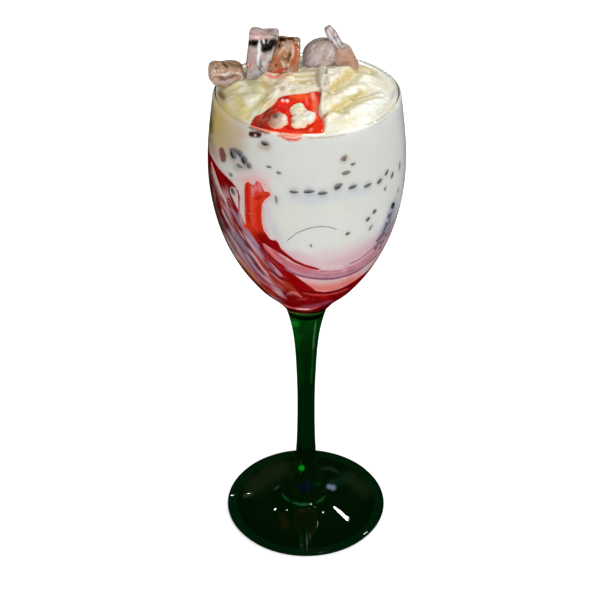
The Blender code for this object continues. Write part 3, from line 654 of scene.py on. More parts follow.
# Main colour, cloudy parts and dark marks; then lowest and highest roughness and transmission
ICE_LOOKS = {
    "peach": (((188, 150, 118), (208, 180, 160), (136, 96, 64)), (0.02, 0.25, 0.35)),
    "amber": (((184, 136, 98), (206, 176, 152), (112, 74, 46)), (0.02, 0.2, 0.4)),
    "clear": (((194, 178, 174), (230, 214, 210), (104, 88, 84)), (0.0, 0.1, 0.45)),
    "frosted": (((188, 168, 156), (204, 192, 188), (150, 124, 108)), (0.15, 0.5, 0.3)),
    "creamy": (((214, 200, 174), (226, 218, 200), (184, 160, 132)), (0.2, 0.5, 0.2)),
}
# painted glints in the ice
SPARKLE = (244, 242, 242)


def srgb(red, green, blue):
    """Linear colour of an 8-bit display colour."""
    made = []
    for value in (red, green, blue):
        share = value / 255
        made.append(share / 12.92 if share <= 0.04045 else ((share + 0.055) / 1.055) ** 2.4)
    return np.array(made)


def ease(low, high, value):
    """0 below low, 1 above high, smooth between; low may be the larger."""
    share = np.clip((value - low) / (high - low), 0, 1)
    return share * share * (3 - 2 * share)


def mix(colours, colour, share):
    """Blend a linear colour into colours."""
    share = np.asarray(share)[..., None]
    return colours * (1 - share) + colour * share


def tone(colours, colour, share):
    """Blend a display colour into colours."""
    return mix(colours, srgb(*colour), share)


def plain(points, colour):
    """The same display colour for every point."""
    return np.broadcast_to(srgb(*colour), points.shape).copy()


def ripple(points, size, seed, octaves=3):
    """Smooth noise of about -1 to 1 from sums of waves, at a size in mm."""
    dice = np.random.default_rng(seed)
    total = np.zeros(points.shape[:-1])
    for octave in range(octaves):
        for _ in range(6):
            way = dice.normal(size=points.shape[-1])
            way *= 2 ** octave * 2 * math.pi / (size * np.linalg.norm(way) * dice.uniform(0.8, 1.3))
            total += np.sin(points @ way + dice.uniform(0, 6.3)) / 2 ** octave
    return total / 3.5


# Outlines and places

def smooth_curve(points, pieces):
    """Catmull-Rom curve through the points, with the ends kept."""
    points = np.array(points, float)
    ends = np.vstack([points[:1], points, points[-1:]])
    t = (np.arange(pieces) / pieces)[:, None]
    made = []
    for a, b, c, d in zip(ends, ends[1:], ends[2:], ends[3:]):
        made.append(0.5 * (2 * b + (c - a) * t + (2 * a - 5 * b + 4 * c - d) * t ** 2
                           + (3 * b - a - 3 * c + d) * t ** 3))
    return np.vstack(made + [points[-1:]])


def inset(outline, distance):
    """Move each point of a downward outline towards the axis, square to the outline."""
    outline = np.array(outline, float)
    ahead = np.vstack([outline[1:], outline[-1:]])
    behind = np.vstack([outline[:1], outline[:-1]])
    along = ahead - behind
    along /= np.linalg.norm(along, axis=1)[:, None]
    moved = outline + np.stack([along[:, 1], -along[:, 0]], axis=1) * distance
    moved[:, 0] = np.maximum(moved[:, 0], 0)
    return moved


OUTER = smooth_curve(BOWL_OUTSIDE, 12)
INNER = smooth_curve(np.vstack([inset(BOWL_OUTSIDE, WALL)[:WALL_POINTS], BOWL_FLOOR]), 12)
INNER[:, 1] = np.minimum(INNER[:, 1], RIM_HEIGHT)


def radius_on(outline, height):
    """Radius of a downward outline at a height."""
    return np.interp(height, outline[::-1, 1], outline[::-1, 0])


def sight_line(x, y, near, far):
    """Direction of a pixel's line of sight, and points along it between two distances."""
    u = (x - CENTRE_X) / FOCAL
    v = (CENTRE_Y - y) / FOCAL
    cosine, sine = math.cos(TILT), math.sin(TILT)
    direction = np.array([u, cosine + v * sine, v * cosine - sine])
    direction /= np.linalg.norm(direction)
    distances = np.linspace(near, far, round((far - near) / SIGHT_STEP) + 1)
    return direction, CAMERA + distances[:, None] * direction


def on_wall(x, y):
    """Angle and height on the inner wall that a pixel shows, with the light bent in the glass."""
    direction, points = sight_line(x, y, 380, 620)
    heights = np.clip(points[:, 2], JOINT_HEIGHT, RIM_HEIGHT)
    beyond = np.hypot(points[:, 0], points[:, 1]) - radius_on(OUTER, heights)
    inside = np.nonzero((beyond < 0) & (points[:, 2] < RIM_HEIGHT))[0]
    hit = points[inside[0]] if len(inside) else points[np.argmin(beyond)]
    slope = radius_on(OUTER, hit[2] + 0.5) - radius_on(OUTER, hit[2] - 0.5)
    normal = np.array([hit[0], hit[1], -slope * math.hypot(hit[0], hit[1])])
    normal /= np.linalg.norm(normal)
    facing = max(-direction @ normal, 0)
    bend = 1 / GLASS_IOR
    inward = bend * direction + (bend * facing - math.sqrt(1 - bend ** 2 * (1 - facing ** 2))) * normal
    point = hit + inward * WALL / max(-inward @ normal, 0.2)
    return math.degrees(math.atan2(point[0], -point[1])), float(point[2])


def wall_places(pixels):
    """Angle and height on the inner wall of each pixel."""
    return [on_wall(x, y) for x, y in pixels]


def wall_points(angles, heights, reach=0.0):
    """Points of the inner wall; reach is how far they lie in the glass."""
    turn = np.radians(angles)
    radius = radius_on(INNER, heights) + reach
    return np.stack([radius * np.sin(turn), -radius * np.cos(turn), heights], axis=-1)


def level(x, y):
    """Points at places on a level plane."""
    return np.stack([x, y, np.zeros_like(x)], axis=-1)


def project(points):
    """Pixel that shows each point, seen straight."""
    away = points - CAMERA
    cosine, sine = math.cos(TILT), math.sin(TILT)
    depth = away[..., 1] * cosine - away[..., 2] * sine
    up = away[..., 1] * sine + away[..., 2] * cosine
    return CENTRE_X + FOCAL * away[..., 0] / depth, CENTRE_Y - FOCAL * up / depth


def densify(points, step):
    """Points at even steps along a line of points."""
    points = np.asarray(points, float)
    lengths = np.r_[0, np.cumsum(np.linalg.norm(np.diff(points, axis=0), axis=1))]
    count = max(int(lengths[-1] / step), 2)
    wanted = np.linspace(0, lengths[-1], count)
    return np.stack([np.interp(wanted, lengths, points[:, i]) for i in range(points.shape[1])], axis=1)


def tree_of(points):
    """Search tree of points, by their number."""
    tree = kdtree.KDTree(len(points))
    for number, point in enumerate(points):
        tree.insert(point, number)
    tree.balance()
    return tree


def distance_to(points, line):
    """Distance from each point to the nearest of a line's points."""
    tree = tree_of(line)
    found = [tree.find(point)[2] for point in points.reshape(-1, 3)]
    return np.array(found).reshape(points.shape[:-1])


def inside_outline(x, y, outline):
    """Whether each place lies inside a closed outline."""
    inside = np.zeros(np.shape(x), bool)
    for (x0, y0), (x1, y1) in zip(outline, np.roll(outline, -1, axis=0)):
        if y0 != y1:
            crosses = (y0 > y) != (y1 > y)
            inside ^= crosses & (x < (x1 - x0) * (y - y0) / (y1 - y0) + x0)
    return inside


def wrapped(angle):
    """The same angle between -180 and 180."""
    return angle - 360 if angle > 180 else angle


# Paint

def line_distance(x, y, pixels):
    """Distance in pixels from each place to a line of pixels, how far along it, and its length."""
    nearest_yet = np.full(np.shape(x), 1e9)
    along = np.zeros(np.shape(x))
    if len(pixels) == 1:
        pixels = pixels * 2
    passed = 0.0
    for (x0, y0), (x1, y1) in zip(pixels, pixels[1:]):
        length = max(math.hypot(x1 - x0, y1 - y0), 1e-5)
        share = np.clip(((x - x0) * (x1 - x0) + (y - y0) * (y1 - y0)) / length ** 2, 0, 1)
        away = np.hypot(x - x0 - (x1 - x0) * share, y - y0 - (y1 - y0) * share)
        along = np.where(away < nearest_yet, passed + share * length, along)
        nearest_yet = np.minimum(nearest_yet, away)
        passed += length
    return nearest_yet, along, passed


def paint(colours, x, y, streaks, soft=0.5):
    """Paint streaks over the colours of places whose pixels are x, y.

    Soft is the edge's width as a share of the streak's. Long streaks thin out at both ends.
    """
    for number, (half_width, colour, strength, pixels) in enumerate(streaks):
        away, along, length = line_distance(x, y, pixels)
        to_end = np.minimum(along, length - along)
        taper = 1.0 if length < 4 * half_width else 0.35 + 0.65 * ease(0, 3 * half_width + 2, to_end)
        wobble = 1 + 0.18 * np.sin(along * 0.45 + number * 2.1) * np.sin(along * 0.17 + number)
        width = half_width * taper * wobble
        edge = half_width * soft + 0.3
        colours = tone(colours, colour, strength * ease(width + edge, width - edge, away))
    return colours


def glass_shifts():
    """Tree of the wall's places that a lattice of pixels shows, and the glass's shift of each pixel."""
    lattice = [(x, y) for x in range(208, 408, 2) for y in range(66, 314, 4)]
    angles, heights = np.transpose(wall_places(lattice))
    points = wall_points(angles, heights)
    shifts = np.array(lattice) - np.stack(project(points), axis=-1)
    on_glass = (np.hypot(*shifts.T) < MOST_SHIFT) & (heights < RIM_HEIGHT - 0.6)
    return tree_of(points[on_glass]), shifts[on_glass]


SHIFT_TREE, SHIFTS = glass_shifts()


def wall_pixels(points):
    """Pixel that shows each point of the wall through the glass."""
    flat = points.reshape(-1, 3)
    x, y = project(flat)
    shift = np.zeros((len(flat), 2))
    for i, point in enumerate(flat):
        found = SHIFT_TREE.find_n(point, 8)
        away = np.array([f[2] for f in found])
        weight = np.exp(-(away ** 2 - away[0] ** 2) / 2)
        shift[i] = weight @ SHIFTS[[f[1] for f in found]] / weight.sum()
    shape = points.shape[:-1]
    return (x + shift[:, 0]).reshape(shape), (y + shift[:, 1]).reshape(shape)


def front_place(angles, heights):
    """Pixels of places on the wall, drawn out beyond what is seen, and how much paint they take."""
    seen = np.interp(heights, *zip(*SEEN))
    x, y = wall_pixels(wall_points(np.clip(angles, -seen, seen), heights))
    return x, y, ease(seen + FADE, seen, abs(angles))


# Meshes

def to_object(name, mesh, look, slot, *nodes):
    """Put a mesh in the scene as a piece that stands for CAD nodes."""
    mesh.shade_smooth()
    mesh.materials.append(look)
    piece = bpy.data.objects.new(name, mesh)
    bpy.context.scene.collection.objects.link(piece)
    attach(piece, "root")
    if nodes:
        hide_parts(*nodes)
    return piece


def set_tint(mesh, colours):
    """Store linear colours on the mesh's vertices."""
    tint = mesh.color_attributes.new("tint", "FLOAT_COLOR", "POINT")
    flat = np.c_[colours.reshape(-1, 3), np.ones(len(mesh.vertices))]
    tint.data.foreach_set("color", flat.reshape(-1).astype(np.float32))


def weld(mesh, distance, outward=False):
    """Drop loose vertices and join those closer than a distance in mm; outward turns the faces."""
    work = bmesh.new()
    work.from_mesh(mesh)
    loose = [v for v in work.verts if not v.link_faces]
    bmesh.ops.delete(work, geom=loose, context="VERTS")
    bmesh.ops.remove_doubles(work, verts=work.verts, dist=distance * MM)
    if outward:
        bmesh.ops.recalc_face_normals(work, faces=work.faces)
    work.to_mesh(mesh)
    work.free()


def grid_mesh(name, points, colours, keep=None):
    """Mesh of a grid of points in rows that close round the glass; keep says which points show."""
    rows, columns = points.shape[:2]
    left = np.arange(rows * columns).reshape(rows, columns)
    right = np.roll(left, -1, axis=1)
    faces = np.stack([left[:-1], left[1:], right[1:], right[:-1]], axis=-1).reshape(-1, 4)
    if keep is not None:
        faces = faces[keep.reshape(-1)[faces].any(axis=1)]
    mesh = bpy.data.meshes.new(name)
    mesh.from_pydata((points.reshape(-1, 3) * MM).tolist(), [], faces.tolist())
    set_tint(mesh, colours)
    weld(mesh, 0.0005)
    return mesh


def turned_mesh(name, outline, columns, colour_at):
    """Turn an outline that runs down the outside, coloured by its points."""
    outline = np.asarray(outline, float)
    turn = np.linspace(-math.pi, math.pi, columns, endpoint=False)
    radius, height = outline[:, :1], outline[:, 1:]
    points = np.stack([radius * np.sin(turn), -radius * np.cos(turn),
                       np.broadcast_to(height, (len(outline), columns))], axis=-1)
    return grid_mesh(name, points, colour_at(points))


def tube_parts(path, radii, normals, sides=8):
    """Vertices and faces of a round tube along a path, with its ends closed to a point."""
    path = np.asarray(path)
    along = np.gradient(path, axis=0)
    along /= np.linalg.norm(along, axis=1)[:, None]
    side = np.cross(along, normals)
    side /= np.linalg.norm(side, axis=1)[:, None]
    up = np.cross(side, along)
    turn = np.linspace(0, 2 * math.pi, sides, endpoint=False)
    circle = (side[:, None] * np.cos(turn)[:, None] + up[:, None] * np.sin(turn)[:, None])
    points = path[:, None] + circle * np.asarray(radii)[:, None, None]
    faces = []
    for i in range(len(path) - 1):
        for j in range(sides):
            k = (j + 1) % sides
            faces.append((i * sides + k, i * sides + j, (i + 1) * sides + j, (i + 1) * sides + k))
    ends = len(path) * sides
    tail = (len(path) - 1) * sides
    faces += [(ends, j, (j + 1) % sides) for j in range(sides)]
    faces += [(ends + 1, tail + (j + 1) % sides, tail + j) for j in range(sides)]
    return np.vstack([points.reshape(-1, 3), path[:1], path[-1:]]), faces


def gather(name, parts):
    """One mesh of many parts, each with its vertices, faces and colours."""
    points, faces, colours = [], [], []
    count = 0
    for part_points, part_faces, part_colours in parts:
        points.append(part_points)
        colours.append(np.broadcast_to(part_colours, part_points.shape))
        faces += [tuple(i + count for i in face) for face in part_faces]
        count += len(part_points)
    mesh = bpy.data.meshes.new(name)
    mesh.from_pydata((np.vstack(points) * MM).tolist(), [], faces)
    set_tint(mesh, np.vstack(colours))
    return mesh


# Materials

def new_material(name, **sockets):
    """Material with one Principled shader whose named sockets are set."""
    made = bpy.data.materials.new(name)
    made.use_nodes = True
    shader = made.node_tree.nodes["Principled BSDF"]
    for socket, value in sockets.items():
        shader.inputs[socket.replace("_", " ")].default_value = value
    return made, made.node_tree, shader


def add_node(tree, kind, **values):
    """Node whose settings or named sockets are set."""
    node = tree.nodes.new(kind)
    for key, value in values.items():
        if hasattr(node, key):
            setattr(node, key, value)
        else:
            node.inputs[key.replace("_", " ")].default_value = value
    return node


def object_noise(tree, size, detail=2.0):
    """Noise over the object at a size in mm."""
    place = add_node(tree, "ShaderNodeTexCoord")
    noise = add_node(tree, "ShaderNodeTexNoise", Scale=1 / (size * MM), Detail=detail)
    tree.links.new(place.outputs["Object"], noise.inputs["Vector"])
    return noise


def add_bump(tree, shader, noise, height, strength=1.0):
    """Let noise raise the shader's surface, at a height in mm."""
    bump = add_node(tree, "ShaderNodeBump", Strength=strength, Distance=height * MM)
    tree.links.new(noise.outputs["Fac"], bump.inputs["Height"])
    tree.links.new(bump.outputs["Normal"], shader.inputs["Normal"])


def tint_colour(tree):
    """The colour painted on the mesh."""
    return add_node(tree, "ShaderNodeAttribute", attribute_name="tint").outputs["Color"]


def tinted(name, speckle, size, amount, bump_height, **sockets):
    """Material that takes its colour from the mesh's tint, mottled by noise."""
    made, tree, shader = new_material(name, **sockets)
    noise = object_noise(tree, size)
    share = add_node(tree, "ShaderNodeMath", operation="MULTIPLY")
    share.inputs[1].default_value = amount
    blend = add_node(tree, "ShaderNodeMix", data_type="RGBA")
    blend.inputs[7].default_value = (*srgb(*speckle), 1)
    tree.links.new(noise.outputs["Fac"], share.inputs[0])
    tree.links.new(share.outputs[0], blend.inputs[0])
    tree.links.new(tint_colour(tree), blend.inputs[6])
    tree.links.new(blend.outputs[2], shader.inputs["Base Color"])
    if bump_height:
        add_bump(tree, shader, noise, bump_height)
    return made


def sunk(name, speckle, size, amount):
    """Material of what lies against the glass, which has no gloss of its own there."""
    return tinted(name, speckle, size, amount, 0, Roughness=0.6, Specular_IOR_Level=0.0)


def height_ramp(tree, stops):
    """Colour by height: stops are heights in mm, from low to high, and display colours."""
    low, high = stops[0][0], stops[-1][0]
    place = add_node(tree, "ShaderNodeTexCoord")
    axes = add_node(tree, "ShaderNodeSeparateXYZ")
    rise = add_node(tree, "ShaderNodeMapRange")
    rise.inputs["From Min"].default_value = low * MM
    rise.inputs["From Max"].default_value = high * MM
    tree.links.new(place.outputs["Object"], axes.inputs[0])
    tree.links.new(axes.outputs["Z"], rise.inputs["Value"])
    ramp = add_node(tree, "ShaderNodeValToRGB")
    tree.links.new(rise.outputs["Result"], ramp.inputs[0])
    points = ramp.color_ramp.elements
    for height, _ in stops[1:-1]:
        points.new((height - low) / (high - low))
    for point, (_, colour) in zip(points, stops):
        point.color = (*srgb(*colour), 1)
    return ramp.outputs["Color"]


def shine_painted_light(tree, shader):
    """Let the shader shine with the light painted on the mesh."""
    tree.links.new(tint_colour(tree), shader.inputs["Emission Color"])
    shader.inputs["Emission Strength"].default_value = 1.0


def clear_glass():
    """Clear glass with the syrup's red and the stem's green painted where it is thick as painted
    reflections, and the painted light of its mesh shone as emission.
    """
    made, tree, shader = new_material(
        "clear_glass", Roughness=0.0, IOR=GLASS_IOR, Transmission_Weight=1.0)
    tree.links.new(height_ramp(tree, BOWL_RAMP), shader.inputs["Base Color"])
    shine_painted_light(tree, shader)
    add_bump(tree, shader, object_noise(tree, 14, 1), 0.05, 0.4)
    return made


def green_glass():
    """Green glass, nearly black in the foot and a little brighter at the stem's top, shining with the
    painted reflections of its mesh.
    """
    made, tree, shader = new_material(
        "green_glass", Roughness=0.02, IOR=1.35, Transmission_Weight=0.85)
    noise = object_noise(tree, 5, 2)
    blend = add_node(tree, "ShaderNodeMix", data_type="RGBA")
    blend.inputs[7].default_value = (*srgb(*DARK_GREEN), 1)
    tree.links.new(noise.outputs["Fac"], blend.inputs[0])
    tree.links.new(height_ramp(tree, STEM_RAMP), blend.inputs[6])
    tree.links.new(blend.outputs[2], shader.inputs["Base Color"])
    shine_painted_light(tree, shader)
    add_bump(tree, shader, noise, 0.1, 0.2)
    return made


def ice_look(name, clearest, cloudiest, transmission):
    """Ice coloured by the mesh's tint, from clear to clouded by its roughness."""
    made, tree, shader = new_material(
        name, IOR=1.31, Transmission_Weight=transmission, Specular_IOR_Level=0.6)
    tree.links.new(tint_colour(tree), shader.inputs["Base Color"])
    noise = object_noise(tree, 2.6, 3)
    frost = add_node(tree, "ShaderNodeMapRange", To_Min=clearest, To_Max=cloudiest)
    tree.links.new(noise.outputs["Fac"], frost.inputs["Value"])
    tree.links.new(frost.outputs["Result"], shader.inputs["Roughness"])
    add_bump(tree, shader, noise, 0.5, 0.8)
    return made


# Glass

def bowl_painted_light(points):
    """Painted light that the lip shines, stronger in front, and painted reflections that the thick glass
    at the bottom shines.
    """
    x, y = project(points)
    dark = np.zeros(points.shape)
    lip = ease(*LIP_LIT, points[..., 2]) * (0.25 + 0.75 * ease(-26, -8, points[..., 0]))
    faint = srgb(*LIP_GLOW) * (1 + 0.5 * ripple(points, 14, 71)[..., None])
    lit = mix(dark, np.clip(faint, 0, 1), lip)
    front = points[..., 1] < 0
    painted = paint(lit, x, y, LIP_LIGHTS, 0.6)
    lit = np.where((front & (lip > 0))[..., None], painted, lit)
    low = front & (points[..., 2] < THICK_HEIGHT) & (points[..., 2] > JOINT_HEIGHT)
    return np.where(low[..., None], paint(dark, x, y, JOINT_LIGHTS, 0.6), lit)


def stem_painted_light(points):
    """Painted reflections and glints that the stem's front and the foot shine."""
    x, y = project(points)
    dark = plain(points, STEM_GLOW)
    seen = (points[..., 1] < 0) | (points[..., 2] < FOOT_TOP)
    return np.where(seen[..., None], paint(dark, x, y, STEM_LIGHTS, 0.7), dark)


def bowl_piece():
    lip = WALL / 2
    turns = np.radians(np.linspace(180, 0, 13))
    middle = (OUTER[0, 0] + INNER[0, 0]) / 2
    lip_points = np.stack([middle + lip * np.cos(turns), RIM_HEIGHT - lip + lip * np.sin(turns)], axis=1)
    inner = INNER[::-1]
    inner = inner[inner[:, 1] < RIM_HEIGHT - lip]
    outer = OUTER[OUTER[:, 1] < RIM_HEIGHT - lip]
    thin = outer[:, 1] >= THICK_HEIGHT
    thick = densify(outer[~thin], 0.3)
    outline = np.vstack([inner, lip_points, outer[thin], thick, [(0, JOINT_HEIGHT)]])
    to_object("bowl", turned_mesh("bowl", outline, BOWL_COLUMNS, bowl_painted_light), clear_glass(),
              "glass_bowl", "glass_bowl")


def stem_piece():
    outside = densify(smooth_curve(STEM_OUTSIDE, 10), 0.4)
    outline = np.vstack([[(0, JOINT_HEIGHT)], outside, FOOT_EDGE])
    outline[:2, 1] += FUSED
    to_object("stem_and_foot", turned_mesh("stem_and_foot", outline, STEM_COLUMNS, stem_painted_light),
              green_glass(), "green_stem_foot", "green_stem_foot")


# What shows through the wall

def wall_grid(low, high, row_step, front_step, back_step):
    """Angles and heights of a grid on the wall, from high down to low, finer in front."""
    heights = np.linspace(high, low, int((high - low) / row_step))
    front = np.arange(-FRONT, FRONT, front_step)
    back = np.arange(FRONT, 360 - FRONT, back_step)
    angles = np.r_[front, np.where(back > 180, back - 360, back)]
    return np.meshgrid(angles, heights)


def from_edge(points, places):
    """Distance from each point to a line of (angle, height) places on the wall."""
    return distance_to(points, densify(wall_points(*np.transpose(places)), EDGE_STEP))


def syrup_depth(points, angles, heights):
    """How far inside the syrup's outline each wall point is, in mm; negative outside."""
    edge = SYRUP_LEFT + wall_places(SYRUP_FRONT) + SYRUP_RIGHT
    away = from_edge(points, edge)
    depth = np.where(inside_outline(angles, heights, edge + [(180, 80), (-180, 80)]), away, -away)
    loop = wall_places(PALE_LOOP)
    away = from_edge(points, loop + loop[:1])
    depth = np.minimum(depth, np.where(inside_outline(angles, heights, loop), -away, away))
    for half_width, pixels in PALE_LINES:
        away = from_edge(points, smooth_curve(wall_places(pixels), 6))
        depth = np.minimum(depth, away - half_width)
    return depth


def seed_places():
    """Angle, height, length, width, turn and strength of every seed, the back's made up."""
    places = [(*on_wall(x, y), *rest) for x, y, *rest in SEEDS]
    dice = random.Random(7)
    height, count = SEED_ROW_BACK
    for i in range(count):
        angle = wrapped(80 + (i + dice.uniform(0.2, 0.8)) * 200 / count)
        places.append((angle, height + dice.uniform(-2, 2), dice.uniform(2.2, 3), dice.uniform(0.9, 1.4),
                       dice.uniform(-20, 20), dice.uniform(0.6, 0.9)))
    for _ in range(LOOSE_SEEDS_BACK):
        angle = wrapped(dice.uniform(88, 256))
        places.append((angle, dice.uniform(132, 174), dice.uniform(1.3, 2.3), dice.uniform(0.7, 1.1),
                       dice.uniform(0, 180), dice.uniform(0.3, 0.8)))
    return places


def milk_colours(points, angles, heights, depth):
    """Milk that is grey-white, tan at the upper left with painted shade and a painted warm reflection
    there, pink near the syrup and greyer at seeds, with the lip's painted light and shade lines and a
    painted glint.
    """
    colours = tone(plain(points, MILK_WHITE), MILK_WARM, 0.6 * ease(-0.4, 0.8, ripple(points, 22, 41)))
    colours = tone(colours, MILK_PINK, 0.75 * ease(133, 117, heights))
    colours = tone(colours, MILK_RED, 0.8 * ease(121.5, 115.5, heights) * ease(80, 100, abs(angles)))
    near = np.exp(-(np.minimum(depth, 0) / 1.1) ** 2)
    colours = tone(colours, MILK_BLUSH, 0.5 * near)
    x, y, share = front_place(angles, heights)
    painted = paint(paint(colours, x, y, MILK_MARKS, 0.8), x, y, CRISP_MARKS, 0.25)
    colours = colours + (painted - colours) * share[..., None]
    for angle, height, length, _, _, strength in seed_places():
        away = np.linalg.norm(points - wall_points(angle, height), axis=-1) / (0.42 * length + 0.45)
        colours = tone(colours, MILK_SHADOW, 0.75 * strength * np.exp(-away ** 2))
    return np.clip(colours * (1 + 0.02 * ripple(points, 9, 3)[..., None]), 0, 1)


def milk_piece():
    angles, heights = wall_grid(BOWL_BOTTOM + 0.3, MILK_RIM, *MILK_GRID)
    wall = wall_points(angles, heights, MILK_REACH)
    depth = syrup_depth(wall, angles, heights)
    colours = milk_colours(wall, angles, heights, depth)
    top_edge = wall[0]
    rings = [np.column_stack([top_edge[:, :2] * share, top_edge[:, 2] - drop]) for share, drop in MILK_TOP]
    bottom = np.broadcast_to([0, 0, BOWL_BOTTOM], top_edge.shape)
    points = np.concatenate([np.array(rings), wall, bottom[None]])
    colours = np.concatenate([np.repeat(colours[:1], len(rings), axis=0), colours, colours[-1:]])
    look = sunk("milk", MILK_SPECKLE, 6, 0.02)
    to_object("milk", grid_mesh("milk", points, colours), look, "falooda_milk", "falooda_milk")


def left_edge(angles):
    """Height of the syrup's edge from the back over the left side, without its corner."""
    line = smooth_curve(SYRUP_LEFT[:-1] + wall_places(SYRUP_FRONT[:7:3]), 8)
    return np.interp(angles, line[:, 0], line[:, 1])


def back_streaks(colours, angles, heights):
    """Round the back, noodles and thin syrup run along the syrup's edge as at the front left."""
    below = (left_edge(angles) - heights) / 3
    streak = ripple(np.stack([below * 2.2, angles / 60], axis=-1), 1.6, 51, 2)
    there = ease(0, -60, angles) * ease(112, 118, heights)
    colours = tone(colours, LILAC, 0.55 * there * ease(0.15, 0.7, streak))
    return tone(colours, SYRUP_STREAK, 0.8 * there * ease(-0.2, -0.8, streak))


def strand_streaks(colours, x, y):
    """Fine noodles and dark syrup between them along the glass's left edge."""
    away, along, _ = line_distance(x, y, LEFT_EDGE)
    strands = ripple(np.stack([away, along / 16], axis=-1), 3.6, 51, 2)
    there = ease(0, 3, away) * ease(25, 18, away) * ease(182, 200, y) * ease(290, 280, x)
    colours = tone(colours, STRAND_PALE, 0.75 * there * ease(-0.05, 0.75, strands))
    colours = tone(colours, STRAND_DARK, 0.5 * there * ease(-0.35, -0.9, strands))
    red = ripple(np.stack([away, along / 12], axis=-1), 5, 52, 1)
    return tone(colours, STRAND_RED, 0.45 * there * ease(0.5, 1.0, red))


def plume_colours(colours, points, x, y):
    """The plume that stands up in the milk: bright, paler at its top and darker below."""
    plume = ease(243, 246, x) * ease(274, 270, x) * ease(236, 226, y) * ease(170, 180, y)
    colours = tone(colours, PLUME_RED, plume)
    colours = mix(colours, paint(colours, x, y, PLUME, 0.7), plume)
    pale = ease(200, 184, y) * ease(0.1, 0.8, ripple(points, 3, 11, 2))
    colours = tone(colours, PLUME_PALE, 0.45 * plume * pale)
    dark = ease(200, 216, y) * ease(0.2, 0.8, ripple(points, 2, 13, 2))
    return tone(colours, PLUME_DARK, 0.4 * plume * dark)


def syrup_colours(points, angles, heights, depth):
    """Syrup that is bright where thin and nearly black-red where deep, with the bundle's streaks."""
    flow = np.stack([angles / 9 + heights / 3.2, angles / 40], axis=-1)
    streak = ripple(flow, 1.4, 5, 2)
    colours = tone(plain(points, SYRUP_RED), SYRUP_BRIGHT, 0.6 * ease(0.0, 0.9, streak))
    colours = tone(colours, SYRUP_DARK, 0.6 * ease(0.0, -0.9, streak))
    behind = back_streaks(colours, angles, heights)
    x, y, share = front_place(angles, heights)
    colours = strand_streaks(paint(colours, x, y, FLOW), x, y)
    colours = plume_colours(colours, points, x, y)
    colours = behind + (colours - behind) * share[..., None]
    pool = ease(112, 106, heights)
    colours = tone(colours, POOL_RED, 0.8 * pool)
    colours = tone(colours, POOL_BRIGHT, 0.5 * pool * ease(0.2, 0.9, ripple(points, 5, 21)))
    thin = ease(0.7, 0.0, depth) * ease(112, 118, heights)
    return tone(colours, SYRUP_EDGE, 0.3 * thin)


def syrup_piece():
    angles, heights = wall_grid(BOWL_BOTTOM + 0.4, SYRUP_TOP, *SYRUP_GRID)
    flat = wall_points(angles, heights)
    depth = syrup_depth(flat, angles, heights)
    reach = MILK_REACH + np.clip(0.3 * depth, -0.5, SYRUP_REACH - MILK_REACH)
    points = wall_points(angles, heights, reach)
    colours = syrup_colours(flat, angles, heights, depth)
    bottom = np.broadcast_to([0, 0, BOWL_BOTTOM + 0.1], points[:1].shape)
    points = np.concatenate([points, bottom])
    colours = np.concatenate([colours, colours[-1:]])
    keep = np.concatenate([depth > -0.7, np.ones((1, depth.shape[1]), bool)])
    look = sunk("rose_syrup", SYRUP_SPECKLE, 3, 0.18)
    piece = to_object("rose_syrup", grid_mesh("rose_syrup", points, colours, keep), look,
                      "rose_syrup", "rose_syrup")
    body = piece.modifiers.new("body", "SOLIDIFY")
    body.thickness = SYRUP_BODY * MM
    body.offset = -1


def strand(places, radius, colour=None):
    """A noodle along (angle, height) places, sunk in the milk so that its outer side shows.

    Without a colour of its own it takes that of the streaks it lies in.
    """
    line = densify(smooth_curve(places, 8), 0.5)
    path = wall_points(*line.T, MILK_REACH - radius * 0.5 + 0.1)
    wobble = ripple(path, 7, int(radius * 1000) + len(path), 1)
    ends = np.minimum(1, np.minimum(np.arange(len(path)), np.arange(len(path))[::-1]) / 5 + 0.2)
    radii = radius * ends * (1 + 0.12 * wobble)
    points, faces = tube_parts(path, radii, path * [1, 1, 0])
    if colour is None:
        colours = paint(plain(points, LILAC), *wall_pixels(points), FLOW)
    else:
        colours = plain(points, colour)
    shade = 1 + 0.14 * ripple(points, 4, 31, 2)[:, None]
    return points, faces, np.clip(colours * shade, 0, 1)


def back_noodles():
    """Noodles along the syrup's edge round the back, each over a part of the way."""
    parts = []
    dice = random.Random(12)
    for i in range(BACK_NOODLES):
        turn = np.linspace(*BACK_TURN, 16) + dice.uniform(-4, 4)
        edge = left_edge(turn) - 2.5 + 1.2 * np.sin(turn / 9 + i * 2.4)
        drop = (i + dice.uniform(0, 0.9)) / BACK_NOODLES
        low = np.interp(turn, [-180, -80], [104, 128])
        start = dice.randrange(0, 9)
        end = start + dice.randrange(4, 9)
        places = np.stack([turn, edge + (low - edge) * drop], axis=1)[start:end + 1]
        parts.append(strand(places, dice.uniform(0.25, 0.55), dice.choice([LILAC, MAUVE, DEEP_RED])))
    return parts


def noodle_piece():
    parts = [strand(wall_places(pixels), radius) for radius, pixels in BUNDLE]
    for radius, colour, pixels, rest in LONE_NOODLES:
        parts.append(strand(wall_places(pixels) + rest, radius, colour))
    look = sunk("vermicelli", NOODLE_SPECKLE, 2, 0.1)
    to_object("vermicelli", gather("vermicelli", parts + back_noodles()), look, "falooda_milk")


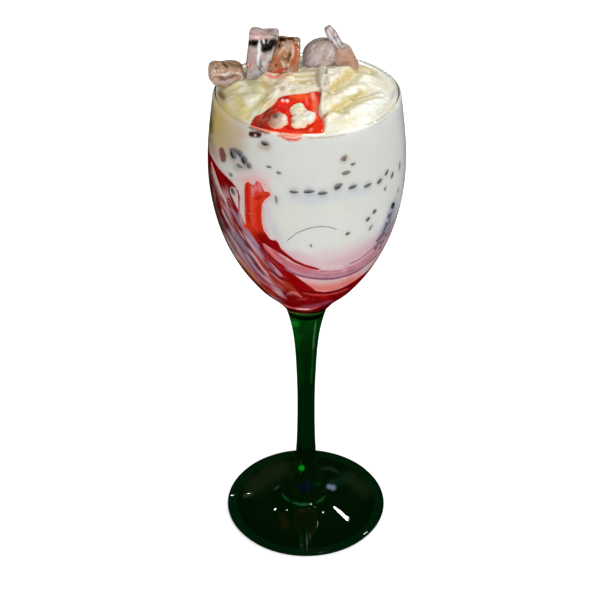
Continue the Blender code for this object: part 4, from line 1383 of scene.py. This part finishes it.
def seed_part(place, dice):
    """A soaked seed: a dark core that reaches furthest into the wall, in a faint grey body."""
    angle, height, length, width, turn, strength = place
    middle = wall_points(angle, height, MILK_REACH - 0.12)
    out = Vector(middle * [1, 1, 0]).normalized()
    right = Vector((0, 0, 1)).cross(out)
    up = out.cross(right)
    work = bmesh.new()
    bmesh.ops.create_uvsphere(work, u_segments=14, v_segments=8, radius=1)
    points = np.array([v.co for v in work.verts])
    faces = [[v.index for v in f.verts] for f in work.faces]
    work.free()
    points += 0.12 * ripple(points, 1.6, dice.randrange(1000), 1)[:, None] * points
    points[:, 1] *= 1 - 0.25 * points[:, 0]
    sized = points * [length * 0.62, width * 0.66, 0.26]
    turn = -math.radians(turn)
    spin = np.array([[math.cos(turn), math.sin(turn), 0], [-math.sin(turn), math.cos(turn), 0], [0, 0, 1]])
    placed = (sized @ spin) @ np.array([right, up, out]) + middle
    core = ease(1.0, 0.3, np.hypot(points[:, 0] + 0.15, points[:, 1] * 1.3 + 0.35))
    body = tone(plain(points, SEED_FAINT), dice.choice(SEED_BODIES), strength)
    return placed, faces, tone(body, dice.choice(SEED_CORES), strength * core)


def seed_piece():
    dice = random.Random(4)
    parts = [seed_part(place, dice) for place in seed_places()]
    look = sunk("basil_seeds", SEED_SPECKLE, 1, 0.25)
    to_object("basil_seeds", gather("basil_seeds", parts), look, "falooda_milk")


# Top

def slope_height(y):
    """Height of the slope that the topping lies on."""
    return SLOPE_FOOT[1] + SLOPE * (y - SLOPE_FOOT[0])


def groove(x, y, start_x, start_y, end_x, end_y, width, depth):
    """Depth, below zero, of a groove along a line."""
    along = np.array([end_x - start_x, end_y - start_y])
    share = np.clip(((x - start_x) * along[0] + (y - start_y) * along[1]) / (along @ along), 0, 1)
    away = np.hypot(x - start_x - along[0] * share, y - start_y - along[1] * share)
    return -depth * np.exp(-(away / width) ** 2)


def topping_depth(x, y):
    """How far inside the topping's outline each place is, in mm; negative outside."""
    outline = smooth_curve(TOPPING_OUTLINE + TOPPING_OUTLINE[:1], 6)
    away = distance_to(level(x, y), densify(level(*outline.T), EDGE_STEP))
    return np.where(inside_outline(x, y, outline[:-1]), away, -away)


def lump_field(x, y):
    """How far out each place is of the nearest lump, 1 at its edge, and the lumps' height there."""
    flat = level(x, y)
    x, y = x + 0.45 * ripple(flat, 5, 61), y + 0.45 * ripple(flat, 5, 62)
    least = np.full_like(x, 9.0)
    total = np.zeros_like(x)
    for centre_x, centre_y, rx, ry, rz in CREAM_LUMPS:
        away = np.hypot((x - centre_x) / rx, (y - centre_y) / ry)
        tall = 0.85 * rz * np.clip(1 - away ** 2.6, 0, 1) ** 0.5
        total += np.exp(4 * tall) - 1
        least = np.minimum(least, away)
    return least, np.log(total + 1) / 4


def cream_height(x, y, inside):
    """Height of the ice cream: a heap with folds and swells, hollowed under the topping."""
    spread = np.minimum(np.hypot(x, y) / CREAM_RADIUS, 1)
    height = CREAM_EDGE + CREAM_RISE * (1 - spread ** 2.2)
    fade = 1 - spread ** 6
    folds = sum(groove(x, y, *fold) for fold in FOLDS + FINE_FOLDS)
    for centre_x, centre_y, rx, ry, rise in SWELLS:
        folds = folds + rise * np.exp(-((x - centre_x) / rx) ** 2 - ((y - centre_y) / ry) ** 2)
    lumps = 0.8 * np.sin(x * 0.62 + y * 0.2) * np.cos(y * 0.5 - x * 0.15) * ease(-2, -6, x)
    flat = level(x, y)
    fine = 0.35 * ripple(flat, 6, 8) * ease(4, -6, x) + 0.16 * ripple(flat, 3.2, 9)
    height = height + (folds + lumps + fine) * fade
    hollow = slope_height(y) - 1.6 * ease(-0.3, 1.0, inside)
    lowered = height + (np.minimum(height, hollow) - height) * ease(-0.6, 0.2, inside)
    height = np.where(inside > -0.6, lowered, height)
    away, tall = lump_field(x, y)
    top = slope_height(y) - 0.45 + tall + 0.14 * ripple(flat, 2.6, 19)
    return np.where(away < 1, np.maximum(height, top), height)


def cream_colours(points, inside):
    """Ice cream that is creamy white on its ridges, with painted yellow shade in its folds and darker
    patches on its left that are partly painted shade.
    """
    x, y = points[..., 0], points[..., 1]
    # painted shade: yellower the deeper the fold
    deep = sum(-groove(x, y, *fold) / fold[5] for fold in FOLDS + FINE_FOLDS)
    colours = tone(plain(points, CREAM_WHITE), CREAM_FOLD_SHADE, 0.6 * np.clip(deep, 0, 1))
    # darker patches on the left, partly painted shade
    colours = tone(colours, CREAM_GREEN_AND_SHADE, 0.7 * ease(2, -8, x) * ease(-0.5, 0.6, ripple(points, 8, 14)))
    colours = tone(colours, CREAM_TAN_AND_SHADE, 0.5 * ease(0.3, 0.9, ripple(points, 5, 33)) * ease(6, -4, x))
    px, py = project(points)
    colours = paint(colours, px, py, CREAM_MARKS, 0.8)
    halo = ease(-0.9, -0.1, inside) * ease(0.25, 0.0, inside) * (ease(-8, -12, x) + ease(2.5, 4, x))
    colours = tone(colours, CREAM_HALO, 0.25 * halo)
    out_of_lump = lump_field(x, y)[0]
    lump = paint(plain(points, LUMP_WHITE), px, py, LUMP_MARKS, 0.8)
    lump = tone(lump, LUMP_EDGE, 0.6 * ease(0.8, 1.0, out_of_lump))
    return colours + (lump - colours) * ease(1.06, 0.94, out_of_lump)[..., None]


def cream_piece():
    turn = np.linspace(-math.pi, math.pi, CREAM_COLUMNS, endpoint=False)
    radii = np.r_[0, np.linspace(0.3, CREAM_RADIUS, CREAM_RINGS)]
    radius, turn = np.meshgrid(radii, turn, indexing="ij")
    x, y = radius * np.sin(turn), -radius * np.cos(turn)
    inside = topping_depth(x, y)
    points = np.stack([x, y, cream_height(x, y, inside)], axis=-1)
    colours = cream_colours(points, inside)
    floor = np.stack([x[-1], y[-1], np.full_like(x[-1], CREAM_FLOOR)], axis=-1)
    points = np.concatenate([points, floor[None], (floor * [0, 0, 1])[None]])
    colours = np.concatenate([colours, colours[-1:], colours[-1:]])
    look = tinted("ice_cream", CREAM_SPECKLE, 2.5, 0.12, 0.3, Roughness=0.38,
                  Subsurface_Weight=0.15, Subsurface_Radius=(1, 0.8, 0.5), Subsurface_Scale=0.8 * MM)
    to_object("ice_cream", grid_mesh("ice_cream", points, colours), look, "ice_cream", "ice_cream")


def topping_piece():
    outline = smooth_curve(TOPPING_OUTLINE + TOPPING_OUTLINE[:1], 20)[:0:-1]
    limit = radius_on(INNER, 179.0) + MILK_REACH
    outline *= np.minimum(1, limit / np.linalg.norm(outline, axis=1))[:, None]
    centre = np.array(TOPPING_CENTRE)
    shares = np.r_[np.linspace(0, 0.93, 60), 0.96, 0.985, 1.0]
    flat = centre + (outline - centre) * shares[:, None, None]
    x, y = flat[..., 0], flat[..., 1]
    relief = 0.16 * ripple(level(x, y), 5, 17) + 0.05 * ripple(level(x, y), 1.8, 18)
    lift = TOPPING_LIFT * ease(-16, -9.5, y)
    drop = 0.7 * ease(0.93, 1.0, shares)[:, None] ** 2
    top = np.stack([x, y, slope_height(y) - 0.35 + relief + lift - drop], axis=-1)
    edge, middle = top[-1], np.broadcast_to([*centre, slope_height(centre[1]) - 2], top[-1].shape)
    points = np.concatenate([top, (edge - [0, 0, 1.3])[None], middle[None]])
    colours = tone(plain(points, TOPPING_RED), TOPPING_DARK, 0.7 * ease(0, 0.8, ripple(points, 5, 25)))
    colours = paint(colours, *project(points), TOPPING_MARKS, 0.8)
    look = tinted("syrup_topping", TOPPING_SPECKLE, 3, 0.15, 0.12, Roughness=0.06, Coat_Weight=0.2)
    to_object("syrup_topping", grid_mesh("syrup_topping", points, colours), look,
              "syrup_topping", "syrup_topping")


# Ice

def rounded_block(steps, half, rounding):
    """Points of a block from -1 to 1 with rounded edges, and its faces."""
    lattice = np.linspace(-1, 1, steps + 1)
    u, v = np.meshgrid(lattice, lattice)
    sheets, faces = [], []
    index = np.arange((steps + 1) ** 2).reshape(steps + 1, steps + 1)
    quads = np.stack([index[:-1, :-1], index[:-1, 1:], index[1:, 1:], index[1:, :-1]], -1).reshape(-1, 4)
    for axis in range(3):
        for side in (-1, 1):
            sheet = [None, None, None]
            sheet[axis] = np.full_like(u, side)
            sheet[(axis + 1) % 3] = u
            sheet[(axis + 2) % 3] = v
            sheets.append(np.stack(sheet, -1).reshape(-1, 3))
            offset = index.size * (len(sheets) - 1)
            faces.append(quads[:, ::side] + offset)
    points = np.vstack(sheets) * half
    inner = np.clip(points, -(half - rounding), half - rounding)
    out = points - inner
    length = np.maximum(np.linalg.norm(out, axis=1)[:, None], 1e-9)
    return (inner + out / length * np.minimum(length, rounding)) / half, np.vstack(faces)


def block_corners(name, bottom, top, depth, height):
    """The block's eight corners, a little off as in the CAD model, by their signs."""
    dice = random.Random(name)
    work = bmesh.new()
    bmesh.ops.create_cube(work, size=2)
    corners = {}
    for vertex in work.verts:
        right, back, up = (round(c) for c in vertex.co)
        sides = top if up > 0 else bottom
        place = np.array([sides[right > 0], back * depth / 2, up * height / 2])
        corners[right, back, up] = place + [dice.uniform(-ICE_WANDER, ICE_WANDER) for _ in range(3)]
    work.free()
    return corners


def ice_seed(name):
    """A number of its own for each piece of ice."""
    return sum(map(ord, name))


def ice_block(name, centre, bottom, top, depth, height, turn, rounding):
    """Points and faces of a chipped block of ice."""
    width = (bottom[1] - bottom[0] + top[1] - top[0]) / 2
    half = np.array([width, depth, height]) / 2
    unit, faces = rounded_block(ICE_STEPS, half, min(rounding * 1.15, half.min() * 0.95))
    local = np.zeros_like(unit)
    for signs, corner in block_corners(name, bottom, top, depth, height).items():
        local += np.prod((1 + unit * signs) / 2, axis=1)[:, None] * corner
    out = unit / np.maximum(np.linalg.norm(unit, axis=1)[:, None], 1e-9)
    seed = ice_seed(name)
    chips = 0.30 * ripple(local, 6, seed, 1) + 0.10 * ripple(local, 2.2, seed + 5, 2)
    local = local + out * (chips + 0.12)[:, None]
    turned_by = np.array(Euler([math.radians(a) for a in turn]).to_matrix())
    return local @ turned_by.T + np.array(centre), faces.tolist()


def ice_colours(name, points, base, cloud, dark):
    """Ice of a main colour with cloudy parts, dark marks, painted sparkles and its painted marks, which
    hold painted glints and reflections.
    """
    seed = ice_seed(name)
    colours = tone(plain(points, base), cloud, 0.8 * ease(0.0, 0.8, ripple(points, 4, seed)))
    colours = tone(colours, dark, 0.7 * ease(0.45, 0.9, ripple(points, 2.6, seed + 1)))
    colours = tone(colours, SPARKLE, 0.6 * ease(0.55, 0.9, ripple(points, 2.2, seed + 2, 2)))
    return paint(colours, *project(points), ICE_MARKS[name], 0.35)


def ice_pieces():
    looks = {look: ice_look(f"{look}_ice", *clarity) for look, (_, clarity) in ICE_LOOKS.items()}
    for name, (*block, look) in ICE.items():
        points, faces = ice_block(name, *block)
        colours = ice_colours(name, points, *ICE_LOOKS[look][0])
        mesh = gather(f"{name}_ice", [(points, faces, colours)])
        weld(mesh, 0.01, outward=True)
        to_object(f"{name}_ice", mesh, looks[look], "ice", name)


# Floor, light and camera

def stage():
    bpy.ops.mesh.primitive_plane_add(size=6)
    floor = bpy.context.object
    floor.name = "floor"
    look, _, _ = new_material("floor", Base_Color=(0.9, 0.9, 0.9, 1), Roughness=0.9,
                              Specular_IOR_Level=0.0, Emission_Color=(1, 1, 1, 1),
                              Emission_Strength=0.4)
    floor.data.materials.append(look)
    floor.visible_glossy = False


def soft_box(name, place, width, height, power, shows):
    """An area lamp aimed at the glass; shows is whether the glass reflects it."""
    light = bpy.data.lights.new(name, "AREA")
    light.shape = "RECTANGLE"
    light.size, light.size_y = width, height
    light.energy = power
    lamp = bpy.data.objects.new(name, light)
    lamp.location = place
    lamp.visible_glossy = shows
    aim = Vector(LAMP_AIM) - Vector(place)
    lamp.rotation_euler = aim.to_track_quat("-Z", "Y").to_euler()
    bpy.context.scene.collection.objects.link(lamp)


def mirrored(x, y):
    """Place of a lamp that the foot mirrors at a pixel."""
    foot = smooth_curve(STEM_OUTSIDE[-4:], 10)
    direction, points = sight_line(x, y, 430, 700)
    surface = np.interp(np.hypot(points[:, 0], points[:, 1]), foot[:, 0], foot[:, 1])
    hit = points[np.argmin(abs(points[:, 2] - surface))]
    radius = math.hypot(hit[0], hit[1])
    slope = np.interp([radius - 0.5, radius + 0.5], foot[:, 0], foot[:, 1])
    lean = (slope[0] - slope[1]) / radius
    normal = np.array([hit[0] * lean, hit[1] * lean, 1])
    normal /= np.linalg.norm(normal)
    way = direction - 2 * (direction @ normal) * normal
    return tuple((hit + GLINT_DISTANCE * way) * MM)


def lights():
    world = bpy.data.worlds.new("studio")
    bpy.context.scene.world = world
    world.use_nodes = True
    back = world.node_tree.nodes["Background"]
    back.inputs["Color"].default_value = WORLD_COLOUR
    back.inputs["Strength"].default_value = WORLD_STRENGTH
    world.cycles_visibility.glossy = False
    for name, lamp in LAMPS.items():
        soft_box(name, *lamp)
    for number, (x, y, size) in enumerate(FOOT_GLINTS):
        soft_box(f"glint_{number}", mirrored(x, y), size, size, GLINT_POWER * size ** 2, True)


def camera():
    data = bpy.data.cameras.new("camera")
    data.sensor_width = SENSOR
    data.lens = FOCAL / FRAME * SENSOR
    data.clip_start, data.clip_end = 0.01, 20
    view = bpy.data.objects.new("camera", data)
    view.location = CAMERA * MM
    aside = math.atan((CENTRE_X - FRAME / 2) / FOCAL)
    view.rotation_euler = (math.pi / 2 - TILT, 0, aside)
    bpy.context.scene.collection.objects.link(view)
    bpy.context.scene.camera = view
    bpy.context.scene.view_settings.view_transform = "Standard"


bowl_piece()
stem_piece()
milk_piece()
syrup_piece()
noodle_piece()
seed_piece()
cream_piece()
topping_piece()
ice_pieces()
stage()
lights()
camera()
